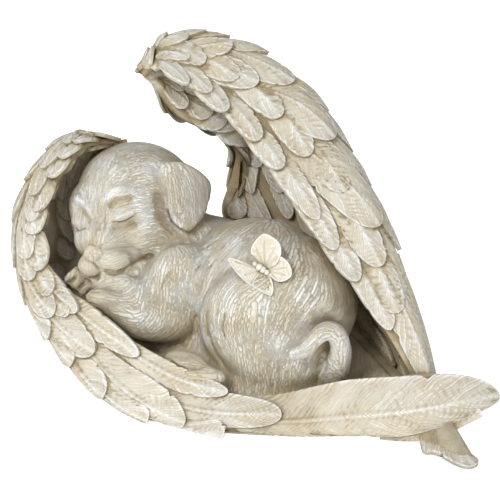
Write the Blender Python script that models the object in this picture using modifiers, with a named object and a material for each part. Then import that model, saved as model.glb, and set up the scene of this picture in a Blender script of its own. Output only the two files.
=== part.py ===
"""A sleeping puppy cradled in two angel wings, with a butterfly on its side: one cast statuette.

X runs along the piece, Y away from its front and Z up. The tables below are in millimetres and
count Y from the front edge; the finished casting is moved so that its box stands on the origin.
"""
import math

import bmesh
import bpy
import numpy as np
from mathutils import Matrix, Vector

MM = 0.001
NAME = "dog_in_wings"

# The middle of the footprint, in the tables' own X and Y.
PLAN_MIDDLE = (-0.4, 47.4)

# Each wing is a trough whose hollow side faces the puppy. A section across it runs from its foot
# over its belly and its crest to the free rim; the sections go from the wrist to the tip.
NEAR_WING = (
    ((-45, 100, 8), (-53, 118, 18), (-57, 124, 44), (-55, 121, 67), (-53, 112, 76)),
    ((-56, 90, 6), (-76, 108, 16), (-86, 117, 44), (-79, 113, 75), (-72, 98, 81)),
    ((-61, 76, 4), (-82, 84, 9), (-98, 91, 34), (-99, 91, 55), (-87, 81, 63)),
    ((-56, 56, 1), (-73, 51, 5), (-89, 54, 18), (-95, 59, 32), (-88, 62, 39)),
    ((-36, 29, -2), (-50, 18, -1), (-65, 21, 6), (-71, 29, 16), (-67, 35, 30)),
    ((-8, 14, -2), (-19, 3, -1), (-28, 3.5, 3), (-29, 6, 9), (-28, 13, 18)),
    ((22, 10, -2), (14, -1, -1), (10, -2, 3), (10, 1, 8), (10, 8, 13)),
    ((46, 8, -1), (42, -1, -1), (39, -4, 3), (39, -1, 10), (39, 6, 20)),
    ((72, 4, 3), (70, -5, 3), (68, -8, 6), (68, -3, 14), (68, 9, 26)),
    ((96, 7, 12), (97, 4, 12), (99, 4, 13), (100, 6, 16), (99, 11, 20)),
)
FAR_WING = (
    ((-44, 104, 104), (-46, 104, 109), (-47, 101, 114), (-45, 96, 119), (-42, 89, 120)),
    ((-33, 108, 86), (-34, 114, 98), (-35, 113, 113), (-33, 101, 129), (-33, 81, 126)),
    ((-10, 111, 68), (-12, 120, 82), (-10, 120, 101), (-6, 100, 127), (-13, 71, 116)),
    ((-13, 107, 38), (0, 118, 54), (17, 116, 82), (21, 91, 113), (2, 61, 101)),
    ((12, 92, 4), (25, 106, 22), (42, 97, 56), (42, 71, 88), (16, 53, 88)),
    ((28, 74, -2), (46, 82, 4), (62, 68, 30), (59, 48, 60), (35, 42, 65)),
    ((48, 46, -2), (61, 48, -1), (72, 39, 13), (68, 25, 36), (50, 25, 44)),
    ((64, 16, -2), (73, 14, -1), (79, 8, 2), (78, 1, 6), (71, 5, 11)),
    ((81, -25, -1), (86, -27, -1), (93, -23, 1), (91, -21, 4), (83, -22, 4)),
)
# The sections above take in the feathers; the wall's own face lies this much deeper.
FEATHER_ROOM = 3.2
SHELL_THICKNESS = 4.2
RIM_THICKNESS = 2.8
FEATHER_THICKNESS = 2.2
# Where a wing's sections crowd together, its width and length are taken as at least this much.
LEAST_WIDTH = 6.0
LEAST_LENGTH = 20.0
# A feather's outline: how wide it is at the root, and how blunt at the tip.
ROOT_SHARE = 0.55
BLUNT_POWER = 5
CROWN_SHARE = 0.12

# The main feathers of each side: the places of root and tip on the wing (along, across), and width.
NEAR_OUTSIDE = (
    ((0.05, 0.88), (0.09, 0.98), 9), ((0.07, 0.80), (0.13, 0.95), 9), ((0.09, 0.76), (0.15, 0.76), 10),
    ((0.10, 0.84), (0.18, 0.90), 11), ((0.13, 0.78), (0.19, 0.72), 11), ((0.15, 0.85), (0.22, 0.94), 11),
    ((0.17, 0.75), (0.24, 0.67), 12), ((0.19, 0.86), (0.26, 0.98), 11), ((0.21, 0.72), (0.29, 0.64), 12),
    ((0.22, 0.88), (0.31, 0.93), 12), ((0.25, 0.85), (0.34, 0.92), 12), ((0.26, 0.68), (0.33, 0.60), 12),
    ((0.30, 0.85), (0.40, 0.92), 14), ((0.31, 0.68), (0.40, 0.72), 12), ((0.34, 0.94), (0.42, 1.0), 10),
    ((0.36, 0.87), (0.465, 0.90), 17), ((0.38, 0.74), (0.44, 0.72), 12), ((0.42, 0.78), (0.475, 0.60), 13),
    ((0.43, 0.80), (0.515, 0.46), 13), ((0.44, 0.92), (0.565, 0.62), 17), ((0.50, 0.80), (0.675, 0.84), 17),
    ((0.50, 0.45), (0.60, 0.40), 12), ((0.62, 0.72), (1.0, 0.82), 25), ((0.82, 0.40), (0.975, 0.42), 11),
)
NEAR_INSIDE = (
    ((0.01, 1.0), (0.03, 0.90), 9), ((0.04, 0.98), (0.05, 0.72), 9), ((0.06, 0.88), (0.07, 0.66), 10),
    ((0.06, 0.72), (0.09, 0.54), 11), ((0.09, 0.66), (0.12, 0.50), 11), ((0.08, 0.56), (0.12, 0.40), 12),
    ((0.11, 0.48), (0.12, 0.30), 13), ((0.20, 0.70), (0.28, 0.50), 12), ((0.30, 0.55), (0.43, 0.42), 13),
    ((0.38, 0.60), (0.52, 0.62), 14),
)
FAR_OUTSIDE = (
    ((0.04, 0.70), (0.12, 0.78), 9), ((0.07, 0.83), (0.17, 0.82), 10), ((0.10, 0.80), (0.20, 0.72), 10),
    ((0.05, 0.92), (0.18, 0.93), 9), ((0.14, 0.91), (0.25, 0.81), 12), ((0.16, 0.77), (0.24, 0.69), 11),
    ((0.17, 0.94), (0.32, 0.88), 15), ((0.21, 0.79), (0.31, 0.71), 13), ((0.24, 0.83), (0.37, 0.80), 16),
    ((0.28, 0.92), (0.47, 0.80), 22), ((0.34, 0.80), (0.43, 0.70), 14), ((0.38, 0.80), (0.485, 0.67), 15),
    ((0.42, 0.94), (0.60, 0.81), 23), ((0.46, 0.79), (0.53, 0.66), 14), ((0.50, 0.76), (0.59, 0.66), 14),
    ((0.54, 0.78), (0.615, 0.66), 14), ((0.56, 0.93), (0.83, 0.80), 17), ((0.58, 0.82), (0.80, 0.62), 15),
    ((0.62, 0.66), (0.86, 0.45), 16), ((0.83, 0.96), (1.0, 0.90), 16),
)
FAR_INSIDE = (
    ((0.06, 0.55), (0.16, 0.50), 10), ((0.02, 0.50), (0.07, 0.25), 9), ((0.06, 0.30), (0.13, 0.22), 10),
    ((0.13, 0.42), (0.19, 0.26), 11), ((0.18, 0.50), (0.24, 0.38), 11), ((0.05, 0.10), (0.14, 0.10), 10),
    ((0.14, 0.16), (0.19, 0.08), 10), ((0.18, 0.32), (0.24, 0.20), 12), ((0.23, 0.36), (0.31, 0.29), 13),
    ((0.18, 0.12), (0.24, 0.08), 11), ((0.28, 0.37), (0.38, 0.31), 14), ((0.25, 0.15), (0.33, 0.10), 13),
    ((0.32, 0.27), (0.39, 0.19), 13), ((0.35, 0.38), (0.43, 0.33), 14), ((0.39, 0.35), (0.46, 0.30), 11),
    ((0.27, 0.09), (0.36, 0.08), 13), ((0.36, 0.20), (0.44, 0.15), 14), ((0.44, 0.38), (0.54, 0.33), 15),
    ((0.44, 0.22), (0.58, 0.18), 15), ((0.52, 0.40), (0.70, 0.42), 15), ((0.56, 0.26), (0.78, 0.24), 15),
    ((0.30, 0.62), (0.42, 0.55), 13), ((0.42, 0.60), (0.56, 0.55), 13), ((0.55, 0.60), (0.74, 0.62), 13),
)
# Rows of plainer feathers where the main ones leave off: the side, the row's place across the wing,
# where it starts and ends along it, how many, then length, width and heading at both ends.
NEAR_ROWS = (
    ("out", 0.60, 0.00, 0.22, 5, (18, 26), (12, 13), (-40, -24)),
    ("out", 0.42, 0.01, 0.42, 7, (22, 34), (13, 15), (-34, -14)),
    ("out", 0.24, 0.02, 0.40, 6, (24, 36), (14, 15), (-24, -8)),
)
FAR_ROWS = (
    ("out", 0.60, 0.01, 0.58, 9, (20, 42), (13, 16), (-40, -18)),
    ("out", 0.44, 0.03, 0.62, 9, (24, 50), (13, 16), (-34, -14)),
    ("out", 0.27, 0.06, 0.60, 8, (26, 52), (13, 16), (-24, -10)),
    ("in", 0.84, 0.06, 0.62, 9, (11, 26), (8, 12), (-50, -14)),
    ("in", 0.68, 0.05, 0.50, 8, (13, 26), (9, 13), (-44, -14)),
)
MAIN_LIFT = 2.0
ROW_LIFT = 2.0

# The puppy's body in big masses: middle, half sizes and turn (degrees about X, Y and Z).
TORSO = (
    ((-16, 82, 28), (27, 22, 21), (0, 0, -25)),      # chest
    ((5, 62, 33), (32, 26, 27), (0, 0, -25)),        # belly
    ((19, 49, 33), (26, 24, 28), (0, 0, -30)),       # rump
    ((-28, 82, 38), (19, 15, 17), (0, 0, 0)),        # neck
    ((-30, 57, 34), (15, 14, 20), (0, 20, 0)),       # near shoulder
    ((-42, 64, 28), (15, 14, 13), (0, 0, 0)),        # chest under the chin
    ((-1, 37, 31), (20, 13, 25), (0, 16, -10)),      # near thigh
    ((9, 28, 18), (23, 10, 11), (0, 6, -8)),         # tufts under the rump
    ((-10, 66, 10), (46, 30, 14), (0, 0, -36)),      # bed under the body
    ((-4, 33, 2), (48, 19, 9), (0, 0, -14)),         # bed towards the near wing
    ((-36, 92, 12), (24, 18, 13), (0, 0, 20)),       # bed under the head
)
# The head and the fine parts are placed as seen from the front, looking down by SEEN_DOWN degrees:
# to the right, up, and near (towards the one who looks).
SEEN_DOWN = 33.0
HEAD = (
    ((-48, 99, -50), (25, 21.5, 22), 0),             # skull
    ((-41, 83, -43), (15, 14, 13), 0),               # near cheek
    ((-66, 83, -44), (8, 10, 10), 0),                # far cheek
    ((-67.4, 93, -45), (8.8, 11, 10), 0),            # far temple
    ((-59, 88, -39), (12, 13, 11), 12),              # face between the eyes
    ((-62, 79.5, -34.5), (8, 10, 8.5), 12),          # bridge of the nose
    ((-53, 72, -34), (10, 6.8, 8), -14),             # near side of the muzzle
    ((-53, 67.5, -36), (11, 6, 9), -18),             # jaw
    ((-67, 79, -39), (6.5, 8, 7), 10),               # far side of the muzzle
    ((-71.5, 89, -56), (5, 12, 6), 0),               # far ear
)
FACE = (
    ((-64.4, 73.8, -25.6), (4.1, 3.5, 2.4), 18),     # nose
    ((-55.4, 70.8, -27.6), (7.4, 5.4, 5.6), -6),     # near lip
    ((-65.2, 68.0, -27.0), (5.6, 5.4, 5.8), 0),      # far lip
    ((-56.5, 64.6, -31.6), (8.4, 4.0, 5.4), -4),     # chin
    ((-54.5, 59.8, -28.5), (11, 5.6, 7), 0),         # throat
    ((-44.5, 54.5, -25), (12, 8.6, 8.4), -20),       # inside of the near arm
    ((-52.0, 97.0, -30.6), (6.5, 2.6, 3.0), 8),      # near brow
    ((-69.6, 94.8, -37.0), (4.5, 2.4, 2.6), -38),    # far brow
    ((-51.6, 88.4, -32.2), (5.6, 3.2, 2.8), 12),     # near eyelid
    ((-70.6, 86.6, -39.4), (4.6, 3.0, 2.8), -6),     # far eyelid
    ((-60.5, 54.8, -18.5), (6.4, 4.4, 4.8), -6),     # near paw
    ((-25.5, 29.2, -9.0), (9.4, 5.0, 5.6), -16),     # inner toe of the hind foot
    ((-19.6, 24.4, -6.5), (10.6, 4.6, 5.4), -8),     # outer toe of the hind foot
)
# Legs, toes and tail follow lines of points, each with its own radius.
LIMBS = (
    (((-31, 47, -30), 10.5), ((-43, 46, -24), 8.5), ((-52, 51, -21), 6.4), ((-60, 54.5, -20), 4.6)),
    (((-60, 67, -42), 5.0), ((-66, 66, -39), 4.0), ((-69, 64.5, -37), 3.0)),
    (((-66.5, 68.6, -37), 1.7), ((-72.2, 65.6, -34.5), 2.0), ((-76.4, 62, -34), 1.6)),
    (((-65.5, 65.2, -36), 1.7), ((-70, 62.0, -33.5), 2.0), ((-73, 59.4, -33), 1.6)),
    (((-65, 61.8, -35), 1.6), ((-67.6, 58.8, -32.5), 1.9), ((-69.6, 56.2, -32), 1.5)),
    (((33.5, 23.5, -14), 6), ((35.2, 29, -8), 5.2), ((36.0, 36, -2.8), 4.4), ((33.7, 41.8, 1.4), 4.1),
     ((29.4, 42.8, 4.2), 3.8), ((25.2, 39.4, 5.6), 3.4), ((21.6, 35.2, 5.4), 3.1), ((17.4, 33.6, 4.2), 2.8)),
)
# The near ear hangs as a flap between two edges, each seen as right and up from root to tip.
EAR_FRONT = ((-36.5, 111), (-36.2, 105), (-34.2, 98), (-33.8, 92), (-31.6, 86), (-25.5, 81.5))
EAR_BACK = ((-28, 111.2), (-21, 107.5), (-16, 102), (-16.8, 95.5), (-19, 88.5), (-24, 82.2))
EAR_NEAR = -25.0
EAR_FALL = 0.031
EAR_THICKNESS = 5.0
EAR_ROOT_DROP = 6.0

# The floor that joins the feet of the wings: its top and underside before the flat cut.
FLOOR_TOP = 7.5
FLOOR_UNDERSIDE = -4.0
# The block that cuts the underside flat.
UNDER_X = (-150.0, 150.0)
UNDER_Y = (-90.0, 190.0)
UNDER_DEPTH = 40.0
NEAR_FLOOR_SPAN = (0.0, 0.88)
FAR_FLOOR_SPAN = (0.46, 0.90)

# The butterfly stands on the flank with its wings half open. Each wing is an outline seen square to
# the flank (X, and up the slope), with the height of its tip above the body.
BUTTERFLY_AT = (5.5, 37.0, 56.0)
BUTTERFLY_SLOPE = 33.0
BUTTERFLY_THICKNESS = 2.0
BUTTERFLY_BODY = ((-3.5, 2.0), (4.0, -3.5), 1.8)
BUTTERFLY_WINGS = (
    (((-0.8, -0.4), (-4.3, -6.3), (-9.6, -2.8), (-14.2, 3.9), (-10.6, 3.8), (-4.2, 1.2)), 5.0),
    (((0, -0.5), (-2.6, -2), (-4.5, -6.3), (-1.2, -8.6), (2.4, -10.5), (3.7, -8.6), (3.1, -4.2)), 4.0),
    (((1.2, -0.5), (5.6, 4.6), (8.2, 4.0), (10.6, 0.8), (10.6, -3), (6.4, -5.1), (2.8, -3.2)), 4.5),
    (((0.5, 0.5), (-3.2, 4.2), (-5.2, 6.7), (-4.0, 10.3), (0, 13.9), (5.4, 11), (6.8, 6.4), (4.6, 1.6)), 6.0),
)

# Each stage melts its masses at a voxel size in millimetres, then softens by a number of rounds.
TORSO_MELT = (2.2, 24)
HEAD_MELT = (1.1, 12)
PUPPY_MELT = (1.0, 4)
WHOLE_MELT = (1.1, 2)
TRIANGLES = 9400
SHARP_ANGLE = 40.0


def smooth_rows(rows, count):
    """Reads a smooth curve through the given rows at evenly spaced places."""
    rows = np.asarray(rows, float)
    padded = np.concatenate([2 * rows[:1] - rows[1:2], rows, 2 * rows[-1:] - rows[-2:-1]])
    place = np.linspace(0, len(rows) - 1, count)
    cell = np.minimum(place.astype(int), len(rows) - 2)
    part = (place - cell).reshape((-1,) + (1,) * (rows.ndim - 1))
    before, start, end, after = (padded[cell + k] for k in range(4))
    bend = 2 * before - 5 * start + 4 * end - after
    twist = 3 * start - before - 3 * end + after
    return 0.5 * (2 * start + (end - before) * part + bend * part**2 + twist * part**3)


def unit(vectors):
    """Scales each vector to length one."""
    return vectors / np.maximum(np.linalg.norm(vectors, axis=-1, keepdims=True), 1e-9)


class Wing:
    """The smooth outer face of one wing, addressed by (along, across), both from 0 to 1."""

    def __init__(self, sections, outward, along=90, across=36):
        lines = smooth_rows(sections, along)
        self.points = smooth_rows(lines.transpose(1, 0, 2), across).transpose(1, 0, 2)
        self.along = np.gradient(self.points, axis=0) * (along - 1)
        self.across = np.gradient(self.points, axis=1) * (across - 1)
        self.normal = outward * unit(np.cross(self.along, self.across))
        self.points = self.points - FEATHER_ROOM * self.normal

    def read(self, grid, place):
        """Reads a grid of vectors between its points; a place outside the grid reads its edge."""
        size = np.array(grid.shape[:2]) - 1
        spot = np.clip(place, 0, 1) * size
        cell = np.minimum(spot.astype(int), size - 1)
        part = spot - cell
        i, j = cell[..., 0], cell[..., 1]
        u, v = part[..., :1], part[..., 1:]
        low = grid[i, j] * (1 - v) + grid[i, j + 1] * v
        high = grid[i + 1, j] * (1 - v) + grid[i + 1, j + 1] * v
        return low * (1 - u) + high * u

    def at(self, place):
        """The point at a place, carried straight on past the wing's edges."""
        past = place - np.clip(place, 0, 1)
        run_on = self.read(self.along, place) * past[..., :1]
        rise_on = self.read(self.across, place) * past[..., 1:]
        return self.read(self.points, place) + run_on + rise_on

    def step(self, place, heading, distance):
        """Moves a place by a distance in mm, in a direction turned from the wing's length by heading."""
        run = self.read(self.along, place)
        rise = self.read(self.across, place)
        forward = unit(run)
        lean = np.sum(rise * forward, axis=-1)
        width = np.maximum(np.linalg.norm(rise - forward * lean[..., None], axis=-1), LEAST_WIDTH)
        across = distance * np.sin(heading) / width
        length = np.maximum(np.linalg.norm(run, axis=-1), LEAST_LENGTH)
        along = (distance * np.cos(heading) - across * lean) / length
        return place + np.stack([along, across], axis=-1)

    def heading(self, place, direction):
        """The angle from the wing's length of a direction given as a change of place."""
        run = self.read(self.along, place)
        rise = self.read(self.across, place)
        forward = unit(run)
        lean = np.sum(rise * forward, axis=-1)
        width = np.linalg.norm(rise - forward * lean[..., None], axis=-1)
        ahead = direction[0] * np.linalg.norm(run, axis=-1) + direction[1] * lean
        return np.arctan2(direction[1] * width, ahead)


def grid_faces(rows, columns, start, flip):
    """Faces of a grid of rows times columns points that begins at the index start."""
    faces = []
    for row in range(rows - 1):
        for column in range(columns - 1):
            a = start + row * columns + column
            quad = (a, a + columns, a + columns + 1, a + 1)
            faces.append(quad[::-1] if flip else quad)
    return faces


def closed_slab(top, bottom, flip):
    """One closed solid between two grids of points of the same size."""
    rows, columns = top.shape[:2]
    points = np.concatenate([top.reshape(-1, 3), bottom.reshape(-1, 3)])
    lower = rows * columns
    faces = grid_faces(rows, columns, 0, flip) + grid_faces(rows, columns, lower, not flip)
    edge = list(range(columns))
    edge += [row * columns + columns - 1 for row in range(1, rows)]
    edge += [(rows - 1) * columns + column for column in range(columns - 2, -1, -1)]
    edge += [row * columns for row in range(rows - 2, 0, -1)]
    for a, b in zip(edge, edge[1:] + edge[:1]):
        quad = (a, b, b + lower, a + lower)
        faces.append(quad[::-1] if flip else quad)
    return points, faces


def wing_shell(wing, flip):
    """The wing's wall: its outer face and an inner one a wall's thickness behind it."""
    share = np.linspace(0, 1, wing.points.shape[1])[None, :, None]
    wall = SHELL_THICKNESS + (RIM_THICKNESS - SHELL_THICKNESS) * share
    return closed_slab(wing.points, wing.points - wall * wing.normal, flip)


def feather(wing, root, tip, width, lift, outside, rows=8, columns=5):
    """A rounded blade laid on one face of the wing from root to tip, its tip lifted clear."""
    share = 1 - (1 - np.linspace(0, 1, rows)) ** 1.4
    root, tip = np.array(root, float), np.array(tip, float)
    shaft = root + (tip - root) * share[:, None]
    heading = wing.heading(shaft, tip - root)
    swell = np.sin(np.minimum(share * 1.7, 1) * math.pi / 2)
    half = 0.5 * width * (ROOT_SHARE + (1 - ROOT_SHARE) * swell)
    half = half * np.sqrt(np.clip(1 - share**BLUNT_POWER, 0.02, 1))
    side = np.linspace(-1, 1, columns)
    places = np.stack([wing.step(shaft, heading + math.pi / 2, column * half) for column in side], axis=1)
    points = wing.at(places)
    normal = wing.read(wing.normal, places)
    rise = lift * (0.35 + share**1.3)[:, None] + CROWN_SHARE * half[:, None] * (1 - side**2)[None, :]
    if outside:
        top = points + rise[..., None] * normal
        bottom = top - FEATHER_THICKNESS * normal
    else:
        wall = SHELL_THICKNESS + (RIM_THICKNESS - SHELL_THICKNESS) * np.clip(places[..., 1:], 0, 1)
        top = points - (wall + rise[..., None]) * normal
        bottom = top + FEATHER_THICKNESS * normal
    return top, bottom


def between(pair, share):
    """The value at a share of the way from the first of a pair to the second."""
    return pair[0] + (pair[1] - pair[0]) * share


def row_feathers(wing, row):
    """Root, tip and width of each feather in a row."""
    across, start, end, count, length, width, heading = row
    for number in range(count):
        share = number / (count - 1)
        root = np.array([start + (end - start) * share, across])
        tip = root
        turn = np.array(math.radians(between(heading, share)))
        for _ in range(6):
            tip = wing.step(tip, turn, between(length, share) / 6)
        yield root, tip, between(width, share)


def wing_pieces(sections, outside, inside, rows, outward):
    """The wall of a wing, its main feathers and its plainer rows, as closed solids."""
    wing = Wing(sections, outward)
    pieces = [wing_shell(wing, outward < 0)]
    blades = [(blade, True, MAIN_LIFT) for blade in outside]
    blades += [(blade, False, MAIN_LIFT) for blade in inside]
    for side, *row in rows:
        blades += [(blade, side == "out", ROW_LIFT) for blade in row_feathers(wing, row)]
    for (root, tip, width), outer, lift in blades:
        top, bottom = feather(wing, root, tip, width, lift, outer)
        pieces.append(closed_slab(top, bottom, (outward < 0) == outer))
    return pieces


def floor_pieces():
    """The floor between the feet of the two wings, as one closed slab."""
    lines = []
    for sections, span in ((NEAR_WING, NEAR_FLOOR_SPAN), (FAR_WING, FAR_FLOOR_SPAN)):
        foot = smooth_rows([section[0] for section in sections], 101)
        first, last = (int(round(100 * share)) for share in span)
        lines.append(smooth_rows(foot[first:last + 1], 25))
    share = np.linspace(-0.06, 1.06, 9)[None, :, None]
    top = lines[0][:, None, :] * (1 - share) + lines[1][:, None, :] * share
    top[..., 2] = FLOOR_TOP
    bottom = top.copy()
    bottom[..., 2] = FLOOR_UNDERSIDE
    return [closed_slab(top, bottom, True)]


def butterfly_pieces(collection):
    """The butterfly's four wings and its body."""
    slope = math.radians(BUTTERFLY_SLOPE)
    right = np.array([1.0, 0, 0])
    up = np.array([0, math.sin(slope), math.cos(slope)])
    out = np.array([0, -math.cos(slope), math.sin(slope)])
    middle = np.array(BUTTERFLY_AT)
    pieces = []
    for outline, height in BUTTERFLY_WINGS:
        reach = max(math.hypot(x, y) for x, y in outline)
        points = []
        for level in (0, -BUTTERFLY_THICKNESS):
            for x, y in outline:
                rise = height * math.hypot(x, y) / reach + level
                points.append(middle + right * x + up * y + out * rise)
        count = len(outline)
        faces = [list(range(count)), list(range(2 * count - 1, count - 1, -1))]
        faces += [(k, (k + 1) % count, (k + 1) % count + count, k + count) for k in range(count)]
        pieces.append(mesh_object("butterfly_wing", points, faces, collection))
    head, tail, radius = BUTTERFLY_BODY
    stops = [(tuple(middle + right * x + up * y), radius) for x, y in (head, tail)]
    return pieces + tube(stops, collection)


def mesh_object(name, points, faces, collection):
    """A mesh object from points in millimetres, its faces turned outward."""
    mesh = bpy.data.meshes.new(name)
    mesh.from_pydata([tuple(point * MM) for point in points], [], faces)
    shape = bmesh.new()
    shape.from_mesh(mesh)
    bmesh.ops.recalc_face_normals(shape, faces=shape.faces)
    shape.to_mesh(mesh)
    shape.free()
    piece = bpy.data.objects.new(name, mesh)
    collection.objects.link(piece)
    return piece


def seen(place):
    """Turns right, up and near, as seen from the front, into a place in millimetres."""
    right, up, near = place
    down = math.radians(SEEN_DOWN)
    y = up * math.sin(down) - near * math.cos(down)
    z = up * math.cos(down) + near * math.sin(down)
    return (right, y, z)


def ellipsoid(middle, half_sizes, rotation, collection):
    """A rounded mass."""
    size = Matrix.Diagonal(Vector(half_sizes) * MM).to_4x4()
    shape = bmesh.new()
    place = Matrix.Translation(Vector(middle) * MM) @ rotation @ size
    bmesh.ops.create_uvsphere(shape, u_segments=32, v_segments=20, radius=1.0, matrix=place)
    mesh = bpy.data.meshes.new("mass")
    shape.to_mesh(mesh)
    shape.free()
    piece = bpy.data.objects.new("mass", mesh)
    collection.objects.link(piece)
    return piece


def turned_mass(middle, half_sizes, turn, collection):
    """A mass of the body, turned about X, then Y, then Z."""
    x, y, z = (math.radians(angle) for angle in turn)
    rotation = Matrix.Rotation(z, 4, "Z") @ Matrix.Rotation(y, 4, "Y") @ Matrix.Rotation(x, 4, "X")
    return ellipsoid(middle, half_sizes, rotation, collection)


def seen_mass(place, half_sizes, roll, collection):
    """A mass given as seen: half sizes to the right, up and near, rolled in the view."""
    lean = Matrix.Rotation(math.radians(90 - SEEN_DOWN), 4, "X")
    rotation = lean @ Matrix.Rotation(math.radians(roll), 4, "Z")
    return ellipsoid(seen(place), half_sizes, rotation, collection)


def ear_flap(collection, rows=14, columns=9):
    """The near ear: a flap that bends back from its front edge."""
    front = smooth_rows(EAR_FRONT, rows)
    back = smooth_rows(EAR_BACK, rows)
    share = np.linspace(0, 1, columns)[None, :, None]
    flat = front[:, None, :] * (1 - share) + back[:, None, :] * share
    near = EAR_NEAR - EAR_FALL * (flat[..., 0] - EAR_FRONT[3][0]) ** 2
    near = near - EAR_ROOT_DROP * np.linspace(1, 0, rows)[:, None] ** 2
    down = math.radians(SEEN_DOWN)
    grids = []
    for depth in (0, EAR_THICKNESS):
        y = flat[..., 1] * math.sin(down) - (near - depth) * math.cos(down)
        z = flat[..., 1] * math.cos(down) + (near - depth) * math.sin(down)
        grids.append(np.stack([flat[..., 0], y, z], axis=-1))
    return mesh_object("ear", *closed_slab(grids[0], grids[1], False), collection)


def tube(stops, collection):
    """A round limb through the stops, as thick at each as its radius says, with round ends."""
    curve = bpy.data.curves.new("limb", "CURVE")
    curve.dimensions = "3D"
    curve.bevel_depth = MM
    curve.bevel_resolution = 6
    curve.use_fill_caps = True
    line = smooth_rows([tuple(point) + (radius,) for point, radius in stops], 8 * len(stops))
    spline = curve.splines.new("POLY")
    spline.points.add(len(line) - 1)
    for target, (x, y, z, radius) in zip(spline.points, line):
        target.co = (x * MM, y * MM, z * MM, 1)
        target.radius = radius
    helper = bpy.data.objects.new("limb", curve)
    collection.objects.link(helper)
    depsgraph = bpy.context.evaluated_depsgraph_get()
    mesh = bpy.data.meshes.new_from_object(helper.evaluated_get(depsgraph))
    shape = bmesh.new()
    shape.from_mesh(mesh)
    bmesh.ops.remove_doubles(shape, verts=shape.verts, dist=1e-6)
    shape.to_mesh(mesh)
    shape.free()
    bpy.data.objects.remove(helper)
    piece = bpy.data.objects.new("limb", mesh)
    collection.objects.link(piece)
    level = Matrix.Identity(4)
    ends = [ellipsoid(point, (radius,) * 3, level, collection) for point, radius in (stops[0], stops[-1])]
    return [piece] + ends


def join(pieces, name):
    """Makes one object of many; they still pass through each other."""
    points = []
    faces = []
    for piece in pieces:
        start = len(points)
        points += [piece.matrix_world @ vertex.co for vertex in piece.data.vertices]
        faces += [[start + index for index in face.vertices] for face in piece.data.polygons]
        mesh = piece.data
        bpy.data.objects.remove(piece)
        bpy.data.meshes.remove(mesh)
    mesh = bpy.data.meshes.new(name)
    mesh.from_pydata(points, [], faces)
    return bpy.data.objects.new(name, mesh)


def apply_modifiers(piece):
    """Replaces an object's mesh by what its modifiers make of it."""
    depsgraph = bpy.context.evaluated_depsgraph_get()
    mesh = bpy.data.meshes.new_from_object(piece.evaluated_get(depsgraph))
    piece.modifiers.clear()
    old = piece.data
    piece.data = mesh
    bpy.data.meshes.remove(old)


def keep_largest_body(piece):
    """Drops closed hollows and crumbs, so that one outer skin is left."""
    shape = bmesh.new()
    shape.from_mesh(piece.data)
    left = set(shape.verts)
    bodies = []
    while left:
        first = left.pop()
        body = {first}
        front = [first]
        while front:
            vertex = front.pop()
            for edge in vertex.link_edges:
                other = edge.other_vert(vertex)
                if other in left:
                    left.discard(other)
                    body.add(other)
                    front.append(other)
        bodies.append(body)
    largest = max(bodies, key=len)
    bmesh.ops.delete(shape, geom=[v for v in shape.verts if v not in largest], context="VERTS")
    shape.to_mesh(piece.data)
    shape.free()


def fuse(pieces, name, stage, collection):
    """Melts pieces that pass through each other into one skin and softens its creases."""
    voxel, rounds = stage
    skin = join(pieces, name)
    collection.objects.link(skin)
    melt = skin.modifiers.new("melt", "REMESH")
    melt.mode = "VOXEL"
    melt.voxel_size = voxel * MM
    soften = skin.modifiers.new("soften", "SMOOTH")
    soften.factor = 0.5
    soften.iterations = rounds
    apply_modifiers(skin)
    keep_largest_body(skin)
    return skin


def make_puppy(collection):
    """The puppy in one skin: the torso and the head are melted first, the fine parts join them last."""
    masses = [turned_mass(*mass, collection) for mass in TORSO]
    torso = fuse(masses, "torso", TORSO_MELT, collection)
    masses = [seen_mass(*mass, collection) for mass in HEAD]
    head = fuse(masses, "head", HEAD_MELT, collection)
    pieces = [torso, head, ear_flap(collection)]
    pieces += [seen_mass(*mass, collection) for mass in FACE]
    for stops in LIMBS:
        pieces += tube([(seen(place), radius) for place, radius in stops], collection)
    return fuse(pieces, "puppy", PUPPY_MELT, collection)


def plaster():
    """Antique ivory stone finish."""
    material = bpy.data.materials.new("antique_ivory")
    material.use_nodes = True
    shader = material.node_tree.nodes["Principled BSDF"]
    shader.inputs["Base Color"].default_value = (0.62, 0.56, 0.44, 1)
    shader.inputs["Roughness"].default_value = 0.85
    return material


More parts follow.
